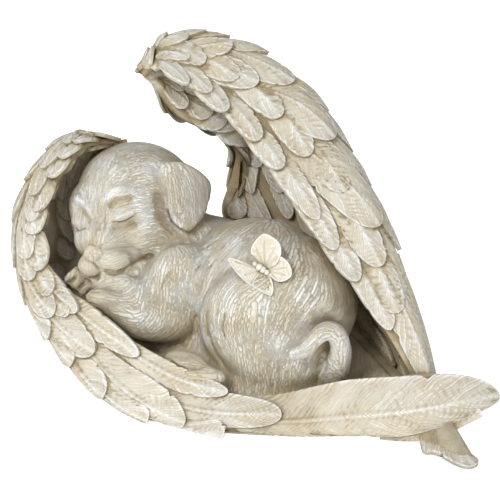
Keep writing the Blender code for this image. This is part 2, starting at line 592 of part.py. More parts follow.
def main():
    for thing in list(bpy.data.objects):
        bpy.data.objects.remove(thing)
    collection = bpy.data.collections.new("dog_statuette")
    cutters = bpy.data.collections.new("cutters")
    for group in (collection, cutters):
        bpy.context.scene.collection.children.link(group)

    puppy = make_puppy(collection)
    pieces = [puppy] + butterfly_pieces(collection)
    wings = (
        (NEAR_WING, NEAR_OUTSIDE, NEAR_INSIDE, NEAR_ROWS, 1),
        (FAR_WING, FAR_OUTSIDE, FAR_INSIDE, FAR_ROWS, -1),
    )
    for wing in wings:
        for points, faces in wing_pieces(*wing):
            pieces.append(mesh_object("wing", points, faces, collection))
    for points, faces in floor_pieces():
        pieces.append(mesh_object("floor", points, faces, collection))
    statuette = fuse(pieces, NAME, WHOLE_MELT, collection)

    statuette.data.calc_loop_triangles()
    thin = statuette.modifiers.new("thin", "DECIMATE")
    thin.ratio = TRIANGLES / len(statuette.data.loop_triangles)
    apply_modifiers(statuette)

    level = np.array([[(x, y, 0.0) for x in UNDER_X] for y in UNDER_Y])
    below = level - np.array([0, 0, UNDER_DEPTH])
    floor = mesh_object("under_floor", *closed_slab(level, below, False), cutters)
    floor.hide_render = True
    floor.display_type = "WIRE"
    cut = statuette.modifiers.new("flat_underside", "BOOLEAN")
    cut.object = floor
    cut.solver = "EXACT"
    apply_modifiers(statuette)
    keep_largest_body(statuette)

    shift = Vector((-PLAN_MIDDLE[0], -PLAN_MIDDLE[1], 0)) * MM
    statuette.data.transform(Matrix.Translation(shift))
    statuette.data.materials.append(plaster())
    statuette.data.shade_smooth()
    statuette.data.set_sharp_from_angle(angle=math.radians(SHARP_ANGLE))


main()
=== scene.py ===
"""The looks of a cast statuette: a puppy asleep between crossed angel wings.

The wings are walls covered in separate carved feathers, the puppy is one melted and carved skin,
and everything wears the same antique ivory finish. The tables are in millimetres and count Y from
the front edge, as the solid's own tables do; the meshes are moved to the frame's middle.
"""

import math

import bmesh
import bpy
import numpy as np
from mathutils import Matrix, Vector, noise
from mathutils.bvhtree import BVHTree
from mathutils.kdtree import KDTree


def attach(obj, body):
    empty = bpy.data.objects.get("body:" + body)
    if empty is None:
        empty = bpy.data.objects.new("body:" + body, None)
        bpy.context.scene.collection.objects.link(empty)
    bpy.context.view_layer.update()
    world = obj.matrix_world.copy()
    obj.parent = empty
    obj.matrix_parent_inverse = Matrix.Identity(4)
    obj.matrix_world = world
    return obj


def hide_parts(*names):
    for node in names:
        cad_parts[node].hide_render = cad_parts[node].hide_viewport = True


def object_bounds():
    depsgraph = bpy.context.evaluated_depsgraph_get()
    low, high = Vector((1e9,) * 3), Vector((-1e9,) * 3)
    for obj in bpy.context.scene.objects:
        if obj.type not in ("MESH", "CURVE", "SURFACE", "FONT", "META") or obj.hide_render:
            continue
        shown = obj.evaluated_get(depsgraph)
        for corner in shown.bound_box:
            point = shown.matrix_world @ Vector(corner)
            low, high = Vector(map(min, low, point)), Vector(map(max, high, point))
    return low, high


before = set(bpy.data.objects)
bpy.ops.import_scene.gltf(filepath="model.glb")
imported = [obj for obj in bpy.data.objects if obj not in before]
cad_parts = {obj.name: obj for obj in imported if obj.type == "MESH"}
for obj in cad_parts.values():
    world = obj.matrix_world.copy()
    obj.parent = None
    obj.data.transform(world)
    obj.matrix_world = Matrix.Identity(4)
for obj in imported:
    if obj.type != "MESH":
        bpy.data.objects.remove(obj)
CAD_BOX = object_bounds()
NODE = "dog_in_wings"
BODY = "root"

MM = 0.001
PLAN_MIDDLE = (-0.4, 47.4)

# The photograph looks down on the statuette from this angle, with a long lens.
VIEW_DOWN = 33.0
LENS = 135.0
SEED = 7

NEAR_WING = (
    ((-45, 100, 8), (-53, 118, 18), (-57, 124, 44), (-55, 121, 67), (-53, 112, 76)),
    ((-56, 90, 6), (-76, 108, 16), (-86, 117, 44), (-79, 113, 75), (-72, 98, 81)),
    ((-61, 76, 4), (-82, 84, 9), (-98, 91, 34), (-99, 91, 55), (-87, 81, 63)),
    ((-56, 56, 1), (-73, 51, 5), (-89, 54, 18), (-95, 59, 32), (-88, 62, 39)),
    ((-36, 29, -2), (-50, 18, -1), (-65, 21, 6), (-71, 29, 16), (-67, 35, 30)),
    ((-8, 14, -2), (-19, 3, -1), (-28, 3.5, 3), (-29, 6, 9), (-28, 13, 18)),
    ((22, 10, -2), (14, -1, -1), (10, -2, 3), (10, 1, 8), (10, 8, 13)),
    ((46, 8, -1), (42, -1, -1), (39, -4, 3), (39, -1, 10), (39, 6, 20)),
    ((72, 4, 3), (70, -5, 3), (68, -8, 6), (68, -3, 14), (68, 9, 26)),
    ((96, 7, 12), (97, 4, 12), (99, 4, 13), (100, 6, 16), (99, 11, 20)),
)
FAR_WING = (
    ((-44, 104, 104), (-46, 104, 109), (-47, 101, 114), (-45, 96, 119), (-42, 89, 120)),
    ((-33, 108, 86), (-34, 114, 98), (-35, 113, 113), (-33, 101, 129), (-33, 81, 126)),
    ((-10, 111, 68), (-12, 120, 82), (-10, 120, 101), (-6, 100, 127), (-13, 71, 116)),
    ((-13, 107, 38), (0, 118, 54), (17, 116, 82), (21, 91, 113), (2, 61, 101)),
    ((12, 92, 4), (25, 106, 22), (42, 97, 56), (42, 71, 88), (16, 53, 88)),
    ((28, 74, -2), (46, 82, 4), (62, 68, 30), (59, 48, 60), (35, 42, 65)),
    ((48, 46, -2), (61, 48, -1), (72, 39, 13), (68, 25, 36), (50, 25, 44)),
    ((64, 16, -2), (73, 14, -1), (79, 8, 2), (78, 1, 6), (71, 5, 11)),
    ((81, -25, -1), (86, -27, -1), (93, -23, 1), (91, -21, 4), (83, -22, 4)),
)
# Where a wing's sections crowd together, its width and length are taken as at least this much.
LEAST_WIDTH = 6.0
LEAST_LENGTH = 20.0
FEATHER_ROOM = 3.2
SHELL_THICKNESS = 4.2
RIM_THICKNESS = 2.8
FEATHER_THICKNESS = 1.6
NEAR_WALL_ROWS = 172
FAR_WALL_ROWS = 166
# The walls are smooth and lie under the feathers, so they take only every second row of the wing.
WALL_STEP = 2

NEAR_OUTSIDE = (
    ((0.05, 0.88), (0.09, 0.98), 9), ((0.07, 0.80), (0.13, 0.95), 9), ((0.09, 0.76), (0.15, 0.76), 10),
    ((0.10, 0.84), (0.18, 0.90), 11), ((0.13, 0.78), (0.19, 0.72), 11), ((0.15, 0.85), (0.22, 0.94), 11),
    ((0.17, 0.75), (0.24, 0.67), 12), ((0.19, 0.86), (0.26, 0.98), 11), ((0.21, 0.72), (0.29, 0.64), 12),
    ((0.22, 0.88), (0.31, 0.93), 12), ((0.25, 0.85), (0.34, 0.92), 12), ((0.26, 0.68), (0.33, 0.60), 12),
    ((0.30, 0.85), (0.40, 0.92), 14), ((0.31, 0.68), (0.40, 0.72), 12), ((0.34, 0.94), (0.42, 1.0), 10),
    ((0.36, 0.87), (0.465, 0.90), 17), ((0.38, 0.74), (0.44, 0.72), 12), ((0.42, 0.78), (0.475, 0.60), 13),
    ((0.43, 0.80), (0.515, 0.46), 13), ((0.44, 0.92), (0.565, 0.62), 17), ((0.50, 0.80), (0.675, 0.84), 17),
    ((0.50, 0.45), (0.60, 0.40), 12), ((0.62, 0.72), (0.995, 0.80), 27), ((0.82, 0.40), (0.975, 0.42), 11),
    ((0.32, 1.02), (0.43, 1.05), 10), ((0.39, 1.03), (0.51, 1.05), 11), ((0.47, 1.03), (0.61, 1.04), 10),
)
NEAR_INSIDE = (
    ((0.01, 1.0), (0.03, 0.90), 9), ((0.04, 0.98), (0.05, 0.72), 9), ((0.06, 0.88), (0.07, 0.66), 10),
    ((0.06, 0.72), (0.09, 0.54), 11), ((0.09, 0.66), (0.12, 0.50), 11), ((0.08, 0.56), (0.12, 0.40), 12),
    ((0.11, 0.48), (0.12, 0.30), 13), ((0.20, 0.70), (0.28, 0.50), 12), ((0.30, 0.55), (0.43, 0.42), 13),
    ((0.38, 0.60), (0.52, 0.62), 14),
)
FAR_OUTSIDE = (
    ((0.04, 0.70), (0.12, 0.78), 9), ((0.07, 0.83), (0.17, 0.82), 10), ((0.10, 0.80), (0.20, 0.72), 10),
    ((0.05, 0.92), (0.18, 0.93), 9), ((0.14, 0.91), (0.25, 0.81), 12), ((0.16, 0.77), (0.24, 0.69), 11),
    ((0.17, 0.94), (0.32, 0.88), 15), ((0.21, 0.79), (0.31, 0.71), 13), ((0.24, 0.83), (0.37, 0.80), 16),
    ((0.28, 0.92), (0.47, 0.80), 22), ((0.34, 0.80), (0.43, 0.70), 14), ((0.38, 0.80), (0.485, 0.67), 15),
    ((0.42, 0.94), (0.60, 0.81), 23), ((0.46, 0.79), (0.53, 0.66), 14), ((0.50, 0.76), (0.59, 0.66), 14),
    ((0.54, 0.78), (0.615, 0.66), 14), ((0.56, 0.93), (0.83, 0.80), 17), ((0.58, 0.82), (0.80, 0.62), 15),
    ((0.62, 0.66), (0.86, 0.45), 16), ((0.83, 0.96), (1.0, 0.90), 16),
    ((-0.01, 0.80), (0.055, 0.86), 10), ((-0.01, 0.62), (0.055, 0.66), 10), ((-0.01, 0.45), (0.06, 0.44), 10),
    ((-0.01, 0.28), (0.06, 0.25), 10),
)
FAR_INSIDE = (
    ((0.06, 0.55), (0.16, 0.50), 10), ((0.02, 0.50), (0.07, 0.25), 9), ((0.06, 0.30), (0.13, 0.22), 10),
    ((0.13, 0.42), (0.19, 0.26), 11), ((0.18, 0.50), (0.24, 0.38), 11), ((0.05, 0.10), (0.14, 0.10), 10),
    ((0.14, 0.16), (0.19, 0.08), 10), ((0.18, 0.32), (0.24, 0.20), 12), ((0.23, 0.36), (0.31, 0.29), 13),
    ((0.18, 0.12), (0.24, 0.08), 11), ((0.28, 0.37), (0.38, 0.31), 14), ((0.25, 0.15), (0.33, 0.10), 13),
    ((0.32, 0.27), (0.39, 0.19), 13), ((0.35, 0.38), (0.43, 0.33), 14), ((0.39, 0.35), (0.46, 0.30), 11),
    ((0.27, 0.09), (0.36, 0.08), 13), ((0.36, 0.20), (0.44, 0.15), 14), ((0.44, 0.38), (0.54, 0.33), 15),
    ((0.44, 0.22), (0.58, 0.18), 15), ((0.52, 0.40), (0.70, 0.42), 15), ((0.56, 0.26), (0.78, 0.24), 15),
    ((0.30, 0.62), (0.42, 0.55), 13), ((0.42, 0.60), (0.56, 0.55), 13), ((0.55, 0.60), (0.74, 0.62), 13),
)
NEAR_ROWS = (
    ("out", 0.60, 0.00, 0.22, 5, (18, 26), (12, 13), (-40, -24)),
    ("out", 0.42, 0.01, 0.42, 7, (22, 34), (13, 15), (-34, -14)),
    ("out", 0.24, 0.02, 0.40, 6, (24, 36), (14, 15), (-24, -8)),
    ("out", 0.98, 0.02, 0.36, 9, (11, 18), (9, 11), (8, 4)),
    ("in", 0.95, 0.03, 0.62, 13, (11, 20), (9, 11), (-12, -8)),
    ("in", 0.62, 0.12, 0.52, 8, (14, 22), (12, 14), (-34, -18)),
    ("in", 0.36, 0.14, 0.52, 7, (14, 22), (12, 14), (-30, -14)),
)
FAR_ROWS = (
    ("out", 0.60, 0.01, 0.58, 9, (20, 42), (13, 16), (-40, -18)),
    ("out", 0.44, 0.03, 0.62, 9, (24, 50), (13, 16), (-34, -14)),
    ("out", 0.27, 0.06, 0.60, 8, (26, 52), (13, 16), (-24, -10)),
    ("out", 0.985, 0.05, 0.62, 9, (19, 36), (10, 12), (9, 3)),
    ("out", 0.89, 0.08, 0.60, 7, (22, 40), (13, 16), (4, 0)),
    ("in", 0.95, 0.05, 0.86, 15, (13, 26), (10, 12), (-10, -5)),
    ("in", 0.45, 0.44, 0.80, 5, (22, 30), (13, 15), (-12, -6)),
    ("in", 0.84, 0.06, 0.62, 9, (11, 26), (8, 12), (-50, -14)),
    ("in", 0.68, 0.05, 0.50, 8, (13, 26), (9, 13), (-44, -14)),
    ("in", 0.08, 0.16, 0.52, 9, (13, 20), (10, 12), (-8, -4)),
)
FEATHER_LIFT = 2.6

# A feather's own carving, in millimetres.
BARB_SPACING = 2.5
BARB_DEPTH = 0.70
BARB_SLANT = 1.15
SHAFT_RIDGE = 0.42
RIM_BEAD = 0.20
GRID_ALONG = 0.58
GRID_ACROSS = 0.72
ROW_COARSENESS = 1.7

# The puppy's body in big masses: middle, half sizes and turn (degrees about X, Y and Z).
TORSO = (
    ((-16, 82, 28), (27, 22, 21), (0, 0, -25)),      # chest
    ((5, 62, 33), (32, 26, 27), (0, 0, -25)),        # belly
    ((19, 49, 33), (26, 24, 28), (0, 0, -30)),       # rump
    ((-28, 82, 38), (19, 15, 17), (0, 0, 0)),        # neck
    ((-30, 57, 34), (15, 14, 20), (0, 20, 0)),       # near shoulder
    ((-42, 64, 28), (15, 14, 13), (0, 0, 0)),        # chest under the chin
    ((-1, 37, 31), (20, 13, 25), (0, 16, -10)),      # near thigh
    ((9, 28, 18), (23, 10, 11), (0, 6, -8)),         # tufts under the rump
    ((-10, 66, 10), (46, 30, 14), (0, 0, -36)),      # bed under the body
    ((-4, 33, 2), (48, 19, 9), (0, 0, -14)),         # bed towards the near wing
    ((-36, 92, 12), (24, 18, 13), (0, 0, 20)),       # bed under the head
)
# The head and the fine parts are placed as seen from the front, looking down by SEEN_DOWN degrees:
# to the right, up, and near (towards the one who looks).
SEEN_DOWN = 33.0
HEAD = (
    ((-48, 99, -50), (25, 21.5, 22), 0),             # skull
    ((-41, 83, -43), (15, 14, 13), 0),               # near cheek
    ((-66, 83, -44), (8, 10, 10), 0),                # far cheek
    ((-67.4, 93, -45), (8.8, 11, 10), 0),            # far temple
    ((-59, 88, -39), (12, 13, 11), 12),              # face between the eyes
    ((-62, 79.5, -34.5), (8, 10, 8.5), 12),          # bridge of the nose
    ((-53, 72, -34), (10, 6.8, 8), -14),             # near side of the muzzle
    ((-53, 67.5, -36), (11, 6, 9), -18),             # jaw
    ((-67, 79, -39), (6.5, 8, 7), 10),               # far side of the muzzle
    ((-71.5, 89, -56), (5, 12, 6), 0),               # far ear
)
FACE = (
    ((-64.4, 73.8, -25.6), (4.1, 3.5, 2.4), 18),     # nose
    ((-55.4, 70.8, -27.6), (7.4, 5.4, 5.6), -6),     # near lip
    ((-65.2, 68.0, -27.0), (5.6, 5.4, 5.8), 0),      # far lip
    ((-56.5, 64.6, -31.6), (8.4, 4.0, 5.4), -4),     # chin
    ((-54.5, 59.8, -28.5), (11, 5.6, 7), 0),         # throat
    ((-44.5, 54.5, -25), (12, 8.6, 8.4), -20),       # inside of the near arm
    ((-52.0, 97.0, -30.6), (6.5, 2.6, 3.0), 8),      # near brow
    ((-69.6, 94.8, -37.0), (4.5, 2.4, 2.6), -38),    # far brow
    ((-51.6, 88.4, -32.2), (5.6, 3.2, 2.8), 12),     # near eyelid
    ((-70.6, 86.6, -39.4), (4.6, 3.0, 2.8), -6),     # far eyelid
    ((-60.5, 54.8, -18.5), (6.4, 4.4, 4.8), -6),     # near paw
    ((-25.5, 29.2, -9.0), (9.4, 5.0, 5.6), -16),     # inner toe of the hind foot
    ((-19.6, 24.4, -6.5), (10.6, 4.6, 5.4), -8),     # outer toe of the hind foot
)
# Legs, toes and tail follow lines of points, each with its own radius.
LIMBS = (
    (((-31, 47, -30), 10.5), ((-43, 46, -24), 8.5), ((-52, 51, -21), 6.4), ((-60, 54.5, -20), 4.6)),
    (((-60, 67, -42), 5.0), ((-66, 66, -39), 4.0), ((-69, 64.5, -37), 3.0)),
    (((-66.5, 68.6, -37), 1.7), ((-72.2, 65.6, -34.5), 2.0), ((-76.4, 62, -34), 1.6)),
    (((-65.5, 65.2, -36), 1.7), ((-70, 62.0, -33.5), 2.0), ((-73, 59.4, -33), 1.6)),
    (((-65, 61.8, -35), 1.6), ((-67.6, 58.8, -32.5), 1.9), ((-69.6, 56.2, -32), 1.5)),
    (((33.5, 23.5, -14), 6), ((35.2, 29, -8), 5.2), ((36.0, 36, -2.8), 4.4), ((33.7, 41.8, 1.4), 4.1),
     ((29.4, 42.8, 4.2), 3.8), ((25.2, 39.4, 5.6), 3.4), ((21.6, 35.2, 5.4), 3.1), ((17.4, 33.6, 4.2), 2.8)),
)
# The near ear hangs as a flap between two edges, each seen as right and up from root to tip.
EAR_FRONT = ((-36.5, 111), (-36.2, 105), (-34.2, 98), (-33.8, 92), (-31.6, 86), (-25.5, 81.5))
EAR_BACK = ((-28, 111.2), (-21, 107.5), (-16, 102), (-16.8, 95.5), (-19, 88.5), (-24, 82.2))
EAR_NEAR = -25.0
EAR_FALL = 0.031
EAR_THICKNESS = 5.0
EAR_ROOT_DROP = 6.0
FLOOR_TOP = 7.5
FLOOR_UNDERSIDE = -4.0
NEAR_FLOOR_SPAN = (0.0, 0.88)
FAR_FLOOR_SPAN = (0.46, 0.90)

BUTTERFLY_AT = (5.5, 37.0, 56.0)
BUTTERFLY_SLOPE = 33.0
BUTTERFLY_THICKNESS = 1.2
BUTTERFLY_BODY = ((-3.5, 2.0), (4.0, -3.5), 1.8)
BUTTERFLY_WINGS = (
    (((-0.8, -0.4), (-4.3, -6.3), (-9.6, -2.8), (-14.2, 3.9), (-10.6, 3.8), (-4.2, 1.2)), 5.0),
    (((0, -0.5), (-2.6, -2), (-4.5, -6.3), (-1.2, -8.6), (2.4, -10.5), (3.7, -8.6), (3.1, -4.2)), 4.0),
    (((1.2, -0.5), (5.6, 4.6), (8.2, 4.0), (10.6, 0.8), (10.6, -3), (6.4, -5.1), (2.8, -3.2)), 4.5),
    (((0.5, 0.5), (-3.2, 4.2), (-5.2, 6.7), (-4.0, 10.3), (0, 13.9), (5.4, 11), (6.8, 6.4), (4.6, 1.6)), 6.0),
)

BUTTERFLY_RINGS = 18
# The butterfly's body as beads: the share of the way from head to tail, and the size of each.
BUTTERFLY_SEGMENTS = ((0.0, 0.62), (0.22, 0.85), (0.42, 0.80), (0.62, 0.66), (0.82, 0.54), (1.0, 0.42))

# Each stage melts its masses at a voxel size in millimetres, then softens by a number of rounds.
TORSO_MELT = (2.0, 26)
HEAD_MELT = (1.0, 14)
PUPPY_MELT = (1.30, 2)
# The share of faces kept where nothing shows.
HIDDEN_KEPT = 0.16

# Fine work is carved where the statuette is seen: right, up and reach of each round field.
FINE_FIELDS = ((-46, 88, 34), (-40, 60, 40), (6, 56, 46))
FACE_FIELDS = ((-60, 84, 17), (-62, 68, 13))

# Which way the fur runs, as seen: right and up of a place, then the direction there.
FUR_FLOW = (
    (-61, 93, 0, 1), (-69, 99, -0.3, 1), (-71, 89, -0.3, 1), (-63, 105, 0.2, 1), (-55, 109, 0.6, 0.8),
    (-47, 115, 0.8, 0.5), (-37, 117, 1, 0), (-26, 113, 0.9, -0.5), (-20, 105, 0.5, -0.9),
    (-53, 100, 0.8, 0.5), (-43, 103, 0.9, 0.2), (-51, 93, 0.9, 0.3), (-43, 93, 0.9, -0.1),
    (-47, 84, 0.9, 0.4), (-39, 85, 0.8, 0.1), (-41, 77, 0.9, 0.3), (-51, 79, 0.8, 0.4),
    (-56, 71, 0.8, 0.3), (-65, 70, 0, -1), (-64, 81, 0.1, 1), (-71, 79, -0.3, 0.8),
    (-31, 77, 0.3, -0.9), (-37, 70, -0.2, -1), (-24, 82, 0.5, -0.8), (-18, 89, 0.6, -0.8),
    (-35, 60, -0.15, -1), (-41, 54, -0.1, -1), (-27, 58, 0, -1), (-33, 48, -0.1, -1),
    (-41, 44, -0.6, -0.7), (-35, 38, -0.8, -0.4), (-24, 40, 0, -1), (-49, 49, -1, 0.3), (-59, 54, -1, 0),
    (-20, 67, -0.4, -0.9), (-12, 75, -0.7, -0.7), (-6, 83, -0.6, -0.8), (4, 85, -0.3, -0.95),
    (16, 84, 0, -1), (-14, 58, -0.4, -0.9), (-4, 69, -0.6, -0.8), (0, 60, -0.9, -0.45),
    (-9, 60, -0.75, -0.65), (-15, 52, -0.35, -0.95), (-17, 42, 0.15, -1), (-13, 33, 0.45, -0.9),
    (-6, 50, -0.3, -0.95), (-4, 40, 0.1, -1), (4, 50, -0.1, -1), (5, 36, 0, -1), (14, 54, -0.5, -0.85),
    (20, 60, -0.5, -0.85), (24, 50, -0.55, -0.8), (16, 42, -0.3, -0.95), (29, 73, 0.3, -0.95),
    (36, 62, 0.25, -0.97), (40, 50, 0, -1), (-4, 24, 0, -1), (16, 24, 0, -1), (20, 30, -0.2, -1),
    (-20, 27, -1, 0.2), (-29, 28, -1, 0.1), (37, 36, 0, 1), (35, 42, -0.5, 0.85), (31, 45, -1, 0.1),
    (26, 41, -0.6, -0.8), (21, 35, -0.85, -0.5),
    (-35, 106, 0, -1), (-31, 109, 0.3, -0.95), (-32, 97, 0, -1), (-26, 101, 0.3, -0.95),
    (-22, 104, 0.5, -0.85), (-18, 99, -0.1, -1), (-22, 93, -0.2, -1), (-29, 89, 0.2, -1), (-24, 84, -0.1, -1),
)
FLOW_REACH = 3.5
# Places that stay smooth: the nose, the lids, the lips, the paws' ends.
CALM_FIELDS = (
    (-64.6, 73.2, 3.6), (-51.6, 88.4, 4.6), (-70.6, 85.6, 3.6), (-64, 54, 4), (-65, 67, 5), (-56, 70, 6),
    (-61, 82, 7), (-72, 62, 5), (-23, 26, 9),
)

# Lines cut or raised on the face and paws: points as seen, half width, height (below zero cuts).
FACE_LINES = (
    (((-58, 91.5), (-55.5, 94.2), (-51, 95.2), (-47.5, 94.4)), 2.4, -1.0),               # near eye socket
    (((-57.0, 85.2), (-54, 83.7), (-50, 84.2), (-46.5, 86.6)), 2.2, -0.75),              # under the near eye
    (((-55.6, 87.6), (-52.5, 88.4), (-49.2, 89.4), (-47.0, 90.4)), 2.2, 0.5),            # near eyelid
    (((-56.6, 85.9), (-54.8, 85.9), (-52.2, 86.1), (-49.6, 87.4), (-46.4, 89.4)), 0.5, -1.1),
    (((-56.5, 90.6), (-54.6, 92.6), (-52, 93.6), (-49, 93.4)), 0.6, -0.4),               # fold over the lid
    (((-60.2, 94), (-58.2, 97.6), (-54.5, 99.6), (-50, 99.6), (-46, 98)), 1.5, 0.8),     # near brow
    (((-72.6, 93), (-70, 91.2), (-67.2, 88.2), (-66.2, 85)), 1.8, -0.7),                 # far eye socket
    (((-73, 85.6), (-70.8, 86.4), (-68.6, 85.6)), 1.6, 0.45),                            # far eyelid
    (((-72.9, 84), (-71.2, 82.8), (-69.2, 83.4), (-67.3, 83.8)), 0.45, -0.8),
    (((-74, 96.7), (-69.8, 94.7), (-66.9, 91), (-65.4, 87.7)), 1.5, 0.5),                # far brow
    (((-61.6, 95), (-60.4, 90), (-58.8, 87.2), (-57.4, 84.3)), 1.3, -0.35),              # side of the nose bridge
    (((-47, 84), (-42, 87), (-39, 89)), 1.6, 0.45),                                      # cheek ridge
    (((-60.6, 75.4), (-60.4, 72.8), (-62.4, 70.8), (-66.0, 70.6), (-68.2, 72.6)), 0.55, -0.6),   # under the nose
    (((-67.4, 76.2), (-64.6, 77.2), (-61.8, 76.0)), 0.6, -0.3),                          # top of the nose
    (((-67.4, 73.6), (-66.6, 72.8)), 0.6, -0.9),                                         # far nostril
    (((-63.0, 73.0), (-61.8, 73.6)), 0.6, -0.9),                                         # near nostril
    (((-64.8, 70), (-63.4, 69.6), (-62, 67.8), (-60.4, 66.2)), 0.6, -0.9),               # cleft of the lip
    (((-60.4, 66.2), (-57.3, 65.2), (-54.2, 65.3), (-50.4, 67.2), (-46.5, 69.8), (-42, 72), (-38.6, 73.8)),
     0.8, -0.9),                                                          # the mouth
    (((-71.4, 70.6), (-70.4, 66.6), (-67.4, 63.5), (-63.2, 62.9), (-60.4, 65)), 0.8, -1.5),   # under the far lip
    (((-71.6, 63.6), (-75.4, 60.6)), 0.6, -1.5),                          # toes of the far paw
    (((-67.8, 61.6), (-69.6, 59.8), (-71.6, 57.6)), 0.6, -1.4),
    (((-36.4, 100), (-38.0, 97), (-37.6, 92), (-35.4, 86), (-30, 80.2)), 2.4, -0.9),     # hollow before the ear
    (((-66.8, 57.0), (-63.5, 58.0), (-60, 57.6)), 0.5, -0.6),                            # toes of the near paw
    (((-67, 55.0), (-63.6, 55.3), (-60.5, 54.4)), 0.5, -0.6),
    (((-66, 53.0), (-63, 52.8), (-60.6, 51.8)), 0.5, -0.5),
    (((-33, 31.5), (-28.5, 28.2), (-22, 27.6), (-16, 29.2)), 0.7, -0.9),                 # between the hind toes
    (((-31, 26), (-27.5, 24.6), (-24, 24.6)), 0.5, -0.45),
    (((-17.2, 52.5), (-17.8, 46), (-16.2, 38), (-12.2, 30), (-10.2, 27.5)), 1.3, -0.9),  # front of the thigh
    (((-19.4, 52), (-19.6, 45), (-17.6, 37), (-13.8, 29.6)), 1.0, 0.5),                  # fur band of the thigh
    (((-60.4, 38.8), (-52, 34), (-43, 30.5), (-35, 28.6)), 0.9, 0.9),                    # layer under the paw
    (((-58, 42), (-50, 37.5), (-42, 34), (-36, 32.5)), 0.5, -0.7),
    (((-56, 45), (-49, 40.5), (-41, 37), (-35.5, 35.5)), 0.5, -0.5),
    (((-59, 40), (-51, 35.8), (-43, 32.2), (-36, 30.6)), 0.4, -0.4),
    (((-10, 50.5), (-10.8, 44), (-10.2, 38.5)), 0.45, -0.8),                             # short deep cuts in the fur
    (((-21, 74.5), (-16.5, 76.8), (-13.5, 78.8)), 0.4, -0.6),
    (((-11.6, 75.3), (-9.6, 77.8)), 0.45, -0.8), (((-22, 66.2), (-19.5, 69)), 0.4, -0.7),
    (((-36.5, 58), (-33.8, 63.5), (-32, 66.6)), 0.42, -0.8), (((-18, 66.3), (-14.8, 69)), 0.42, -0.6),
    (((-10.5, 64.4), (-8.4, 67)), 0.5, -0.8), (((-40.5, 60.5), (-38.7, 64.5)), 0.4, -0.5),
    (((-35, 98.5), (-34.3, 92), (-32.6, 86.5), (-27, 80.8)), 1.0, 0.9),                 # rim of the ear
)

collection = bpy.context.scene.collection
random = np.random.default_rng(SEED)


def smooth_rows(rows, count):
    """Reads a smooth curve through the given rows at evenly spaced places."""
    rows = np.asarray(rows, float)
    padded = np.concatenate([2 * rows[:1] - rows[1:2], rows, 2 * rows[-1:] - rows[-2:-1]])
    place = np.linspace(0, len(rows) - 1, count)
    cell = np.minimum(place.astype(int), len(rows) - 2)
    part = (place - cell).reshape((-1,) + (1,) * (rows.ndim - 1))
    before, start, end, after = (padded[cell + k] for k in range(4))
    bend = 2 * before - 5 * start + 4 * end - after
    twist = 3 * start - before - 3 * end + after
    return 0.5 * (2 * start + (end - before) * part + bend * part**2 + twist * part**3)


def unit(vectors):
    """Scales each vector to length one."""
    return vectors / np.maximum(np.linalg.norm(vectors, axis=-1, keepdims=True), 1e-9)


def bell(distance, width):
    """A soft bump of the given half width."""
    return np.exp(-(np.asarray(distance) / width) ** 2)


def step_up(value, low, high):
    """Rises smoothly from 0 to 1 between low and high."""
    share = np.clip((np.asarray(value) - low) / (high - low), 0, 1)
    return share * share * (3 - 2 * share)


class Wing:
    """The smooth outer face of one wing, addressed by (along, across), both from 0 to 1."""

    def __init__(self, sections, outward, along=180, across=60):
        lines = smooth_rows(sections, along)
        self.points = smooth_rows(lines.transpose(1, 0, 2), across).transpose(1, 0, 2)
        self.along = np.gradient(self.points, axis=0) * (along - 1)
        self.across = np.gradient(self.points, axis=1) * (across - 1)
        self.normal = outward * unit(np.cross(self.along, self.across))
        self.points = self.points - FEATHER_ROOM * self.normal

    def read(self, grid, place):
        """Reads a grid of vectors between its points; a place outside the grid reads its edge."""
        size = np.array(grid.shape[:2]) - 1
        spot = np.clip(place, 0, 1) * size
        cell = np.minimum(spot.astype(int), size - 1)
        part = spot - cell
        i, j = cell[..., 0], cell[..., 1]
        u, v = part[..., :1], part[..., 1:]
        low = grid[i, j] * (1 - v) + grid[i, j + 1] * v
        high = grid[i + 1, j] * (1 - v) + grid[i + 1, j + 1] * v
        return low * (1 - u) + high * u

    def at(self, place):
        """The point at a place, carried straight on past the wing's edges."""
        past = place - np.clip(place, 0, 1)
        run_on = self.read(self.along, place) * past[..., :1]
        rise_on = self.read(self.across, place) * past[..., 1:]
        return self.read(self.points, place) + (run_on + rise_on)

    def step(self, place, heading, distance):
        """Moves a place by a distance in mm, in a direction turned from the wing's length by heading."""
        run = self.read(self.along, place)
        rise = self.read(self.across, place)
        forward = unit(run)
        lean = np.sum(rise * forward, axis=-1)
        width = np.maximum(np.linalg.norm(rise - forward * lean[..., None], axis=-1), LEAST_WIDTH)
        across = distance * np.sin(heading) / width
        length = np.maximum(np.linalg.norm(run, axis=-1), LEAST_LENGTH)
        along = (distance * np.cos(heading) - across * lean) / length
        return place + np.stack([along, across], axis=-1)

    def heading(self, place, direction):
        """The angle from the wing's length of a direction given as a change of place."""
        run = self.read(self.along, place)
        rise = self.read(self.across, place)
        forward = unit(run)
        lean = np.sum(rise * forward, axis=-1)
        width = np.linalg.norm(rise - forward * lean[..., None], axis=-1)
        ahead = direction[0] * np.linalg.norm(run, axis=-1) + direction[1] * lean
        return np.arctan2(direction[1] * width, ahead)


def grid_faces(rows, columns, start, flip):
    """Faces of a grid of rows times columns points that begins at the index start."""
    row, column = np.meshgrid(np.arange(rows - 1), np.arange(columns - 1), indexing="ij")
    a = (start + row * columns + column).ravel()
    quads = np.stack([a, a + columns, a + columns + 1, a + 1], axis=1)
    return (quads[:, ::-1] if flip else quads).tolist()


def rim_of_grid(rows, columns):
    """The indices around a grid's edge, in order."""
    edge = list(range(columns))
    edge += [row * columns + columns - 1 for row in range(1, rows)]
    edge += [(rows - 1) * columns + column for column in range(columns - 2, -1, -1)]
    edge += [row * columns for row in range(rows - 2, 0, -1)]
    return edge


